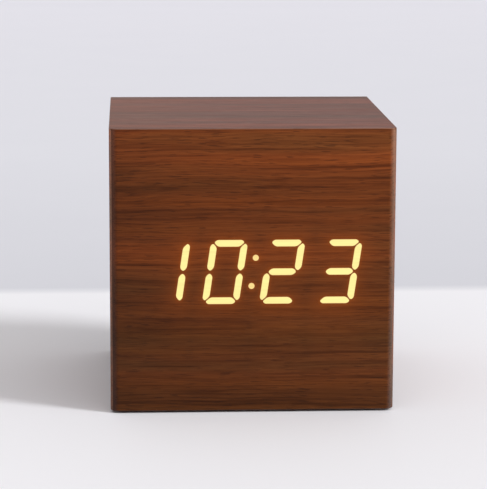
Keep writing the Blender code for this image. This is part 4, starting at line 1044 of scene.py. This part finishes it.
@dataclass
class WoodenCase:
    """Five mitred boards and the front veneer, with the upright front edges eased by sanding."""

    half: float = 31.5 * MM
    low: float = 0.5 * MM
    high: float = 63.5 * MM
    board: float = 3.0 * MM
    veneer: float = 0.6 * MM
    seam: float = 0.03 * MM  # half the glue line between two boards
    eased: float = 1.9 * MM  # radius of the upright front edges
    sanded: float = 0.18 * MM  # radius of every other outer edge
    window_half: float = 25.45 * MM
    window_rise: float = 9.8 * MM
    lit_half: float = 27.5 * MM  # of the veneer's finely meshed part, where the digits' light spreads
    lit_rise: float = 10.5 * MM
    fine_step: float = 0.34 * MM
    digits: LitDigits = field(default_factory=LitDigits)

    def middle(self) -> float:
        """Give the height of the cube's middle."""
        return (self.low + self.high) / 2

    def front(self) -> float:
        """Give where the boards start, behind the veneer and its glue."""
        return -self.half + self.veneer + self.seam

    def block(self) -> Shape:
        """Make the whole cube's outer shape, which trims every board."""
        rear = self.half - self.sanded
        turns = [math.pi / 8 * k for k in range(5)]
        right = [(rear + self.sanded * math.cos(turn), rear + self.sanded * math.sin(turn)) for turn in turns]
        left = [(-x, y) for x, y in reversed(right)]
        return skin(self.rings(self.plan(0.0) + right + left))

    def rings(
        self, plan: Sequence[Point], between: Sequence[float] = (), back: float = math.inf
    ) -> list[list[tuple[float, float, float]]]:
        """Stack a plan up the cube, drawn in at the bottom and the top by the sanded radius.

        Args:
            plan: (x, y) points, counter-clockwise.
            between: More heights, for rings that aren't drawn in.
            back: How far back a point may be.

        Returns:
            Rings of points from the bottom up.
        """
        turns = [math.pi / 2 * k / 4 for k in range(5)]
        bottom = [(1 - math.sin(turn), 1 - math.cos(turn)) for turn in reversed(turns)]
        levels = [(self.low + self.sanded * rise, self.sanded * inset) for rise, inset in bottom]
        top = [(self.low + self.high - z, inset) for z, inset in reversed(levels)]
        made = []
        for z, inset in levels + [(z, 0.0) for z in between] + top:
            scale = (self.half - inset) / self.half
            made.append([(x * scale, min(y * scale, back), z) for x, y in plan])
        return made

    def plan(self, flat_step: float) -> list[Point]:
        """Give the front edge of the cube's plan, from the left rounding to the right one.

        Args:
            flat_step: The step along the flat front where the display is, or 0 for none.

        Returns:
            (x, y) points from left to right.
        """
        start, turns = self.half - self.eased, [math.pi / 2 * k / 8 for k in range(9)]
        right = [(start + self.eased * math.sin(turn), -start - self.eased * math.cos(turn)) for turn in turns]
        left = [(-x, y) for x, y in reversed(right)]
        if not flat_step:
            return left + right
        return left + [(x, -self.half) for x in self.steps(self.lit_half)] + right

    def steps(self, reach: float) -> list[float]:
        """Give fine steps from one side of the lit part to the other."""
        count = round(2 * reach / self.fine_step)
        return [-reach + 2 * reach * k / count for k in range(count + 1)]

    def build(self) -> None:
        """Make the veneer, the boards and the board behind the veneer."""
        self.build_veneer()
        self.digits.build(-self.half)
        self.build_core()
        for name, outline, finish in self.boards():
            shape = extrude(outline, "Y", self.front(), self.half + MM)
            board = Piece(f"veneered_{name}", shape, finish, "case", (name,), slot="walnut", sharp=30.0)
            board.bounds = [self.block()]
            second_finish(board.build(), FIBREBOARD, self.is_bare)

    def is_bare(self, place: Vector) -> bool:
        """Say whether a board's face lies inside the case, where there is no veneer."""
        return max(abs(place.x), abs(place.z - self.middle())) < self.half - self.board * 0.98

    def boards(self) -> list[tuple[str, list[Point], Finish]]:
        """Give each board's name, its (x, z) outline between its mitres, and its finish."""
        out, inner, seam, middle = self.half + MM, self.half - self.board, self.seam, self.middle()
        shape = [(-out + seam, out), (out - seam, out), (inner - seam, inner), (-inner + seam, inner)]
        return [
            ("top_board", [(x, middle + z) for x, z in shape], WALNUT_LEVEL),
            ("bottom_board", [(x, middle - z) for x, z in shape], WALNUT_LEVEL),
            ("left_board", [(-z, middle + x) for x, z in shape], WALNUT_SIDE),
            ("right_board", [(z, middle + x) for x, z in shape], WALNUT_SIDE),
        ]

    def build_core(self) -> None:
        """Make the board behind the veneer, with its window for the display."""
        inner, middle = self.half - self.board - self.seam * 2, self.middle()
        front, back = self.front(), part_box("front_board")[1].y
        plate = box((-inner, front, middle - inner), (inner, back, middle + inner))
        x, half, rise = self.digits.middle_x, self.window_half, self.window_rise
        window = box((x - half, front - MM, middle - rise), (x + half, back + MM, middle + rise))
        Piece("window_board", plate, FIBREBOARD, "case", ("front_board",), slot="walnut", cuts=[window]).build()

    def build_veneer(self) -> None:
        """Make the veneer as one fine sheet, and store on it how much of the digits' light it lets out."""
        back = -self.half + self.veneer
        end = self.half - self.eased + math.sqrt(self.eased**2 - (self.eased - self.veneer) ** 2)
        plan = [(x, y) for x, y in self.plan(self.fine_step) if y < back]
        rows = [self.middle() + rise for rise in self.steps(self.lit_rise)]
        bm = skin(self.rings([(-end, back), *plan, (end, back)], rows, back))
        bmesh.ops.remove_doubles(bm, verts=bm.verts, dist=0.002 * MM)
        sheet = Piece("walnut_front", bm, WALNUT_FRONT, "case", ("front_veneer",), sharp=30.0)
        sheet.slot = "walnut_veneer"
        obj = sheet.build()
        places = np.array([(v.co.x, v.co.z) for v in obj.data.vertices])
        glow = obj.data.attributes.new("glow", "FLOAT", "POINT")
        glow.data.foreach_set("value", self.digits.glow(places).astype(np.float32))


@dataclass
class Feet:
    """Four die-cut rubber pads, let into the bottom board."""

    rounding: float = 0.15 * MM

    def build(self) -> None:
        """Make each pad where the CAD has it."""
        for name in (f"foot_{end}_{hand}" for end in ("front", "rear") for hand in ("left", "right")):
            low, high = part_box(name)
            radius, height, middle = (high.x - low.x) / 2, high.z - low.z, middle_of(name)
            corners = [(0.0, 0.0, 0.0), (radius, 0.0, self.rounding), (radius, height, 0.0), (0.0, height, 0.0)]
            pad = Piece(f"rubber_{name}", lathe(rounded_profile(corners)), BLACK_RUBBER, "case", (name,))
            pad.slot, pad.at = "rubber", (middle.x, middle.y, low.z)
            pad.build()


# ---- Rear ------------------------------------------------------------------------------------------------

BUTTONS = ("set", "up", "down")
OUTWARDS = (0, 1, 0)
INWARDS = (0, -1, 0)


@dataclass
class RearPanel:
    """The moulded panel, with rounded openings, countersunk holes, two board pins and three raised marks."""

    rounding: float = 0.14 * MM
    corner: float = 0.6 * MM
    clearance: float = 0.25 * MM
    wall_depth: float = 2.0 * MM  # from the door's face to the panel's inner face
    opening_half: float = 25.7 * MM
    opening_corner: float = 0.8 * MM
    opening_rise: float = 1.2 * MM  # from the tray's underside to the opening
    opening_gap: float = 0.3 * MM  # over the door
    pin_radius: float = 0.9 * MM
    pin_x: float = 18.4 * MM
    pin_inset: float = 1.8 * MM  # from the rear board's edge
    slot_half: float = 5.0 * MM
    slot_height: float = 0.9 * MM
    slot_pitch: float = 1.9 * MM
    pinhole: float = 0.6 * MM
    pinhole_x: float = -16.0 * MM
    scoop_radius: float = 4.5 * MM
    scoop_depth: float = 1.0 * MM
    usb_gap: float = 0.3 * MM
    sink: tuple[Point, ...] = (  # the countersink's radius and depth in mm
        (0.0, -1.0),
        (2.05, -1.0),
        (2.05, 0.3),
        (1.15, 1.4),
        (1.15, 4.0),
        (0.0, 4.0),
    )
    mark_drop: float = 5.2 * MM  # from a button's middle to the middle of its mark
    mark_size: float = 0.85 * MM
    mark_height: float = 0.12 * MM
    mark_root: float = 0.05 * MM

    def build(self) -> None:
        """Make the panel and its marks."""
        low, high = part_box("rear_panel")
        door_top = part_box("battery_door")[1]
        out, back = high.y, door_top.y - self.wall_depth
        plate = extrude(rounded_outline(high.x, low.z, high.z, self.corner), "Y", back, out)
        board_low, board_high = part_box("rear_board")
        pins = ((self.pin_x, board_high.z - self.pin_inset), (-self.pin_x, board_low.z + self.pin_inset))
        joins = [peg(self.pin_radius, back - low.y, (x, back, z), INWARDS, start=-MM) for x, z in pins]
        panel = Piece("moulded_rear_panel", plate, BLACK_ABS, "case", ("rear_panel",), slot="black_abs")
        panel.bevel, panel.cuts, panel.joins = self.rounding, self.holes(back, out, door_top.z), joins
        panel.build()
        self.build_marks(out)

    def holes(self, back: float, out: float, door_top: float) -> list[Shape]:
        """Make the shapes that cut the panel's openings.

        Args:
            back: Where the panel starts along Y.
            out: Where it ends.
            door_top: The height of the door's upper edge.

        Returns:
            The shapes.
        """
        before, behind = back - MM, out + MM
        reach = behind - before
        low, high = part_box("battery_tray")[0].z + self.opening_rise, door_top + self.opening_gap
        opening = rounded_outline(self.opening_half, low, high, self.opening_corner)
        cuts = [extrude(opening, "Y", before, behind)]
        cuts.append(peg(self.scoop_radius, 3 * MM, (0, out - self.scoop_depth, high), OUTWARDS, 48))
        for name in BUTTONS:
            middle = middle_of(f"{name}_button")
            radius = PushButtons.radius + self.clearance
            cuts.append(peg(radius, reach, (middle.x, before, middle.z), OUTWARDS, 64))
        cuts.append(extrude(UsbSocket().outline(self.usb_gap), "Y", before, behind))
        screw_z, half = middle_of("panel_screw_lower_left").z, self.slot_height / 2
        for i in (-1, 0, 1):
            z = screw_z + i * self.slot_pitch
            slot = rounded_outline(self.slot_half, z - half, z + half, half * 0.98)
            cuts.append(extrude(slot, "Y", before, behind))
        cuts.append(peg(self.pinhole, reach, (self.pinhole_x, before, screw_z), OUTWARDS))
        for name in PanelScrews.names():
            middle = middle_of(name)
            sink = lathe([(radius * MM, depth * MM) for radius, depth in self.sink])
            cuts.append(moved(sink, (middle.x, out, middle.z), INWARDS))
        return cuts

    def build_marks(self, out: float) -> None:
        """Raise a ring under the set button, and a triangle under each of the others."""
        shapes = []
        size, start, end = self.mark_size, out - self.mark_root, out + self.mark_height
        for name, way in zip(BUTTONS, (0, 1, -1)):
            middle = middle_of(f"{name}_button")
            x, z = middle.x, middle.z - self.mark_drop
            if way:
                foot, tip = z - way * size * 0.6, z + way * size * 0.9
                shapes.append(extrude([(x - size, foot), (x + size, foot), (x, tip)], "Y", start, end))
            else:
                shapes.append(self.ring(x, z, start, end))
        Piece("button_marks", joined(shapes), BUTTON_ABS, "case", slot="black_abs", smooth=False).build()

    def ring(self, x: float, z: float, start: float, end: float) -> Shape:
        """Make a flat ring that faces +Y.

        Args:
            x: Its middle.
            z: Its middle's height.
            start: Where it starts along Y.
            end: Where it ends.

        Returns:
            A closed bmesh.
        """
        outer, inner = self.mark_size, self.mark_size * 0.62
        section = [(outer, start), (outer, end), (inner, end), (inner, start)]
        rings = [[(x + r * across, y, z + r * up) for r, y in section] for across, up in circle(1.0, 32)]
        return skin(rings, closed=True)


@dataclass
class PanelScrews:
    """Countersunk screws with a cross recess."""

    head: float = 1.9 * MM
    shank: float = 1.0 * MM
    head_height: float = 1.1 * MM
    length: float = 10.0 * MM
    sunk: float = 0.15 * MM
    rim: float = 0.06 * MM
    recess_half: float = 0.95 * MM
    recess_width: float = 0.42 * MM
    recess_depth: float = 0.8 * MM
    first_turn: float = 0.35  # radians
    next_turn: float = 0.8

    @staticmethod
    def names() -> list[str]:
        """Give the four screws' names."""
        return [f"panel_screw_{level}_{hand}" for level in ("lower", "upper") for hand in ("left", "right")]

    def build(self) -> None:
        """Make each screw, each turned in by its own amount."""
        corners = [(0.0, self.sunk, 0.0), (self.head, self.sunk, self.rim), (self.shank, self.head_height, 0.0)]
        corners += [(self.shank, self.length - self.shank, 0.0), (0.0, self.length, 0.0)]
        for i, name in enumerate(self.names()):
            middle, turn = middle_of(name), self.first_turn + self.next_turn * i
            shape = lathe(rounded_profile(corners))
            screw = Piece(f"cross_head_{name}", shape, ZINC_STEEL, "case", (name,), slot="screw_steel")
            screw.cuts = [self.blade(turn), self.blade(turn + math.pi / 2)]
            screw.at, screw.direction = (middle.x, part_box(name)[1].y + self.sunk, middle.z), INWARDS
            screw.build()

    def blade(self, turn: float) -> Shape:
        """Make one bar of the cross that cuts the recess, turned about Z."""
        wide, half, c, s = self.recess_half, self.recess_width / 2, math.cos(turn), math.sin(turn)
        corners = [(-wide, -half), (wide, -half), (wide, half), (-wide, half)]
        outline = [(c * x - s * y, s * x + c * y) for x, y in corners]
        return extrude(outline, "Z", -MM, self.sunk + self.recess_depth)


@dataclass
class PushButtons:
    """Three caps with a dished top and a flange behind the panel, each on its own body."""

    radius: float = 2.6 * MM
    flange: float = 3.4 * MM
    flange_height: float = 0.8 * MM
    dish: float = 0.18 * MM
    rounding: float = 0.35 * MM

    def build(self) -> None:
        """Make the three caps."""
        for cap in (f"{name}_button" for name in BUTTONS):
            low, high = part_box(cap)
            middle, tall = middle_of(cap), high.y - low.y
            step = self.flange_height
            corners = [(0.0, 0.0, 0.0), (self.flange, 0.0, 0.1 * MM), (self.flange, step, 0.1 * MM)]
            corners += [(self.radius, step, 0.0), (self.radius, tall, self.rounding)]
            corners += [(self.radius * 0.72, tall, 0.3 * MM)]
            corners += [(self.radius * 0.4, tall - self.dish * 0.8, 0.3 * MM), (0.0, tall - self.dish, 0.0)]
            piece = Piece(f"dished_{cap}", lathe(rounded_profile(corners, 6), 64), BUTTON_ABS, cap, (cap,))
            piece.slot, piece.at, piece.direction = "button_abs", (middle.x, low.y, middle.z), OUTWARDS
            piece.build()


@dataclass
class UsbSocket:
    """A micro socket: a folded tin-plate shell with eased edges, and a tongue with five contacts."""

    x: float = -14.0 * MM
    half_width: float = 3.75 * MM
    half_height: float = 1.4 * MM
    corner: float = 0.45 * MM
    wall: float = 0.3 * MM
    depth: float = 5.0 * MM
    shell_edge: float = 0.07 * MM
    tongue_edge: float = 0.08 * MM
    contact_width: float = 0.3 * MM
    contact_pitch: float = 0.65 * MM

    def outline(self, grow: float = 0.0) -> list[Point]:
        """Give the socket's (x, z) outline with rounded corners, moved out by a distance."""
        middle = middle_of("usb_shell").z
        wide, tall = self.half_width + grow, self.half_height + grow
        foot, shoulder = wide - 0.7 * self.half_height, -0.2 * self.half_height
        corners = [(wide, tall), (-wide, tall), (-wide, shoulder)]
        corners += [(-foot, -tall), (foot, -tall), (wide, shoulder)]
        made = []
        for before, corner, after in zip(corners[-1:] + corners, corners, corners[1:] + corners[:1]):
            made += eased_corner(before, corner, after, self.corner, 5)
        return [(self.x + x, middle + z) for x, z in made]

    def build(self) -> None:
        """Make the shell, the tongue and its contacts."""
        low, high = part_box("usb_shell")
        shell = Piece("folded_usb_shell", extrude(self.outline(), "Y", low.y, high.y), TIN_PLATE, "case")
        shell.cuts = [extrude(self.outline(-self.wall), "Y", high.y - self.depth, high.y + MM)]
        shell.stands_for, shell.slot, shell.bevel = ("usb_shell",), "tinned_steel", self.shell_edge
        shell.build()
        low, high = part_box("usb_tongue")
        tongue = Piece("moulded_usb_tongue", box(low, high), BLACK_NYLON, "case", ("usb_tongue",))
        tongue.slot, tongue.bevel = "switch_housing", self.tongue_edge
        tongue.build()
        contacts, half = [], self.contact_width / 2
        for i in range(5):
            x = self.x + (i - 2) * self.contact_pitch
            start = (x - half, low.y + 0.2 * MM, low.z - 0.06 * MM)
            contacts.append(box(start, (x + half, high.y - 0.25 * MM, low.z + 0.05 * MM)))
        Piece("usb_contacts", joined(contacts), GOLD_FLASH, "case", slot="tinned_steel", smooth=False).build()


# ---- Battery bay -----------------------------------------------------------------------------------------


@dataclass
class BatteryDoor:
    """The tilting door: two hooked tabs below, and a springy latch tongue with finger ribs above."""

    thickness: float = 1.8 * MM
    corner: float = 0.6 * MM
    rounding: float = 0.14 * MM
    tab_half: float = 2.5 * MM
    tab_offset: float = 15.0 * MM
    tab_thickness: float = 0.9 * MM
    tab_drop: float = 1.5 * MM  # how far a tab hooks below the door
    tab_root: float = 1.4 * MM  # how far it reaches up the door
    latch_half: float = 4.5 * MM
    latch_length: float = 7.0 * MM
    latch_slot: float = 0.8 * MM
    wedge_top: float = 0.3 * MM  # from the door's upper edge
    wedge_depth: float = 1.2 * MM
    wedge_height: float = 3.6 * MM
    rib_count: int = 4
    rib_pitch: float = 1.1 * MM
    rib_half: float = 3.4 * MM
    rib_top: float = 1.5 * MM
    groove_depth: float = 0.25 * MM

    def build(self) -> None:
        """Make the door and its finger ribs."""
        low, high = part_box("battery_door")
        out, inner, door_low = high.y, high.y - self.thickness, low.z + self.tab_drop
        plate = extrude(rounded_outline(high.x, door_low, high.z, self.corner), "Y", inner, out)
        tab_out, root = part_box("battery_tray")[1].y, inner + self.thickness / 2
        tab_in, tab_top = tab_out - self.tab_thickness, door_low + self.tab_root
        hook = [(tab_in, low.z), (tab_out, low.z), (tab_out, door_low), (root, door_low + 0.3 * MM)]
        hook += [(root, tab_top), (tab_in, tab_top)]
        joins, cuts = [], []
        for side in (-1, 1):
            middle = side * self.tab_offset
            joins.append(extrude(hook, "X", middle - self.tab_half, middle + self.tab_half))
            start, end = sorted((side * self.latch_half, side * (self.latch_half + self.latch_slot)))
            cuts.append(box((start, inner - 2 * MM, high.z - self.latch_length), (end, out + MM, high.z + MM)))
        ramp = high.z - self.wedge_top
        wedge = [(root, ramp), (inner - self.wedge_depth, ramp), (root, ramp - self.wedge_height)]
        joins.append(extrude(wedge, "X", -self.latch_half / 2, self.latch_half / 2))
        half = self.rib_pitch * 0.26
        for i in range(self.rib_count):
            z = high.z - self.rib_top - i * self.rib_pitch
            low_corner = (-self.rib_half, out - self.groove_depth, z - half)
            cuts.append(box(low_corner, (self.rib_half, out + MM, z + half)))
        door = Piece("ribbed_battery_door", plate, BLACK_ABS, "door", ("battery_door",), slot="black_abs")
        door.bevel, door.cuts, door.joins = self.rounding, cuts, joins
        door.build()


@dataclass
class Cells:
    """Three AAA cells in printed sleeves, with a can end and a nub, and a coil spring on each negative end."""

    radius: float = 5.25 * MM
    body: float = 43.3 * MM
    nub_radius: float = 1.9 * MM
    nub: float = 1.2 * MM
    sleeve_lip: float = 0.35 * MM
    wire: float = 0.35 * MM
    spring_length: float = 4.0 * MM
    wide: float = 3.6 * MM
    narrow: float = 2.4 * MM
    turns: float = 3.0
    turn_steps: int = 36

    def build(self) -> None:
        """Make each cell and its spring, the cells lying head to tail."""
        for number in (1, 2, 3):
            way = 1 if number % 2 else -1
            cell, spring = f"battery_{number}", f"battery_spring_{number}"
            middle = middle_of(cell)
            for name, make in ((cell, self.build_cell), (spring, self.build_spring)):
                low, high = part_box(name)
                make(name, (low.x if way == 1 else high.x, middle.y, middle.z), (way, 0, 0))

    def build_cell(self, name: str, at: Sequence[float], direction: Sequence[float]) -> None:
        """Make one cell.

        Args:
            name: The cell's node.
            at: The middle of its negative end.
            direction: Towards its positive end.
        """
        r, lip, length = self.radius, self.sleeve_lip, self.body
        corners = [(0.0, 0.0, 0.0), (r * 0.66, 0.0, 0.3 * MM), (r * 0.72, 0.25 * MM, 0.1 * MM)]
        corners += [(r - lip, 0.25 * MM, 0.1 * MM), (r, 0.5 * MM, 0.2 * MM), (r, length - 0.3 * MM, 0.25 * MM)]
        corners += [(r - lip * 1.6, length, 0.15 * MM), (r - lip * 2.4, length - 0.5 * MM, 0.2 * MM)]
        nub, tip = self.nub_radius, length + self.nub
        corners += [(nub, length - 0.5 * MM, 0.2 * MM), (nub, tip, 0.3 * MM), (0.0, tip, 0.0)]
        shape = lathe(rounded_profile(corners), 64)
        cell = Piece(f"sleeved_{name}", shape, CELL_SLEEVE, "case", (name,), "cell_sleeve", at, direction)
        second_finish(cell.build(), ZINC_STEEL, lambda place: math.hypot(place.x, place.y) < r - lip * 1.9)

    def build_spring(self, name: str, at: Sequence[float], direction: Sequence[float]) -> None:
        """Make one conical spring with a closed coil at each end.

        Args:
            name: The spring's node.
            at: The middle of its wide end.
            direction: Towards its narrow end.
        """
        steps, path = round(self.turns * self.turn_steps), []
        rise = self.spring_length - 2 * self.wire
        for i in range(steps + 1):
            share = i / steps
            closed = min(max((share - 0.12) / 0.76, 0.0), 1.0)
            angle = math.tau * self.turns * share
            radius = self.wide + (self.narrow - self.wide) * share
            path.append(Vector((radius * math.cos(angle), radius * math.sin(angle), self.wire + rise * closed)))
        shape = tube(path, self.wire * 0.95)
        spring = Piece(f"coiled_{name}", shape, SPRING_WIRE, "case", (name,), "spring_steel", at, direction)
        spring.sharp = 60.0
        spring.build()


# ---- What the CAD makes ----------------------------------------------------------------------------------


@dataclass
class CarriedOver:
    """The CAD nodes whose shape is right as it is, with their finishes and a slightly broken edge."""

    nodes: Mapping[str, bpy.types.Object]
    broken_edge: float = 0.08 * MM

    def finishes(self) -> dict[str, Finish]:
        """Give each carried-over node's finish."""
        made: dict[str, Finish] = {
            "battery_tray": BLACK_ABS,
            "display_reflector": WHITE_POLYCARBONATE,
            "display_resin": CAST_RESIN,
            "display_led_board": SOLDER_MASK,
            "main_board": SOLDER_MASK,
            "rear_board": SOLDER_MASK,
            "microcontroller": CHIP_EPOXY,
            "crystal": TIN_PLATE,
            "buzzer": BLACK_NYLON,
            "capacitor": SLEEVE_FILM,
            "microphone": TIN_PLATE,
            "ribbon_cable": GREY_PVC,
            "battery_wire_positive": RED_PVC,
            "battery_wire_negative": BLACK_PVC,
        }
        for level in ("lower", "upper"):
            made[f"board_rail_{level}"] = PINE
            made[f"board_screw_{level}"] = ZINC_STEEL
            for hand in ("left", "right"):
                made[f"corner_block_{level}_{hand}"] = PINE
        for name in ("battery_link_left", "battery_link_right", "battery_end_negative", "battery_end_positive"):
            made[name] = NICKEL_STRIP
        for name in BUTTONS:
            made[f"{name}_switch"] = BLACK_NYLON
            made[f"{name}_plunger"] = BUTTON_ABS
        return made

    def dress(self) -> None:
        """Give each node its material, and break the edges of the ones that are cut or moulded."""
        cut_or_moulded = {"battery_tray", "battery_link_left", "battery_link_right"}
        for name, finish in self.finishes().items():
            node = self.nodes[name]
            node.data.materials.clear()
            node.data.materials.append(finish.material())
            if name in cut_or_moulded:
                edge = node.modifiers.new("broken_edge", "BEVEL")
                edge.width, edge.segments = self.broken_edge, 1
                edge.limit_method, edge.angle_limit = "ANGLE", math.radians(50)
            LOG.info("node %s keeps its shape in %s", name, finish.name)


# ---- Studio ----------------------------------------------------------------------------------------------


@dataclass(frozen=True)
class Light:
    """A large, far light, which lights the floor evenly and gives a soft shadow."""

    name: str
    power: float
    softness: float  # degrees across
    elevation: float  # degrees
    azimuth: float  # degrees from +X towards +Y

    def build(self) -> None:
        """Hang the light where it faces the clock."""
        lamp = bpy.data.lights.new(self.name, "SUN")
        lamp.energy, lamp.angle = self.power, math.radians(self.softness)
        lamp.color = linear("#fdfdff")[:3]
        light = linked(self.name, lamp)
        up, about = math.radians(self.elevation), math.radians(self.azimuth)
        towards = Vector((math.cos(up) * math.cos(about), math.cos(up) * math.sin(about), math.sin(up)))
        light.rotation_euler = towards.to_track_quat("Z", "Y").to_euler()
        light.location = towards


@dataclass
class Studio:
    """The floor, the light and the camera."""

    floor_half: float = 4.0
    lens: float = 163.95
    camera_at: tuple[float, float, float] = (-27.4 * MM, -512.0 * MM, 123.9 * MM)
    camera_turn: tuple[float, float, float] = (-10.13, 0.19, -3.01)  # pitch, roll and yaw in degrees
    ambient_front: float = 0.38
    ambient_back: float = 0.7
    lights: tuple[Light, ...] = (
        Light("key", power=2.0, softness=14.0, elevation=33.0, azimuth=-26.0),
        Light("fill", power=0.6, softness=70.0, elevation=50.0, azimuth=-80.0),
    )

    def build(self) -> None:
        """Set the floor, the light and the camera."""
        self.build_floor()
        self.build_world()
        for light in self.lights:
            light.build()
        self.build_camera()

    def build_floor(self) -> None:
        """Lay the floor at the feet's height."""
        bm = bmesh.new()
        half = self.floor_half
        corners = ((-half, -half), (half, -half), (half, half), (-half, half))
        bm.faces.new([bm.verts.new((x, y, 0.0)) for x, y in corners])
        floor = linked("floor", as_mesh(bm, "floor"))
        floor.data.materials.append(PALE_FLOOR.material())

    def build_world(self) -> None:
        """Light the room softly, and more from behind the clock than from the dim end in front of it."""
        world = bpy.data.worlds.new("room")
        world.use_nodes = True
        tree = world.node_tree
        tree.nodes.clear()
        place = add_node(tree, "ShaderNodeTexCoord")
        depth = add_node(tree, "ShaderNodeSeparateXYZ", links={0: place.outputs["Generated"]}).outputs["Y"]
        reach = {"From Min": -1.0, "From Max": 1.0, "To Min": self.ambient_front, "To Max": self.ambient_back}
        strength = add_node(tree, "ShaderNodeMapRange", reach, {"Value": depth}).outputs[0]
        sky = add_node(tree, "ShaderNodeBackground", {"Color": linear("#fdf8f8")}, {"Strength": strength})
        add_node(tree, "ShaderNodeOutputWorld", links={"Surface": sky.outputs[0]})
        bpy.context.scene.world = world

    def build_camera(self) -> None:
        """Place the camera and make it the scene's."""
        data = bpy.data.cameras.new("camera")
        data.lens, data.sensor_width = self.lens, 36.0
        data.clip_start, data.clip_end = 0.02, 20.0
        camera = linked("camera", data)
        camera.location = Vector(self.camera_at)
        pitch, roll, yaw = (math.radians(angle) for angle in self.camera_turn)
        level = Matrix.Rotation(math.pi / 2 + pitch, 4, "X")
        turn = Matrix.Rotation(yaw, 4, "Z") @ level @ Matrix.Rotation(roll, 4, "Z")
        camera.rotation_euler = turn.to_euler()
        scene = bpy.context.scene
        scene.camera = camera
        scene.view_settings.view_transform = "Standard"


def main() -> None:
    """Build the clock's looks round the CAD frame."""
    logging.basicConfig(level=logging.INFO, format="%(message)s")
    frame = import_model()
    Studio().build()
    WoodenCase().build()
    Feet().build()
    RearPanel().build()
    PanelScrews().build()
    PushButtons().build()
    UsbSocket().build()
    BatteryDoor().build()
    Cells().build()
    CarriedOver(frame["nodes"]).dress()


if __name__ == "__main__":
    main()
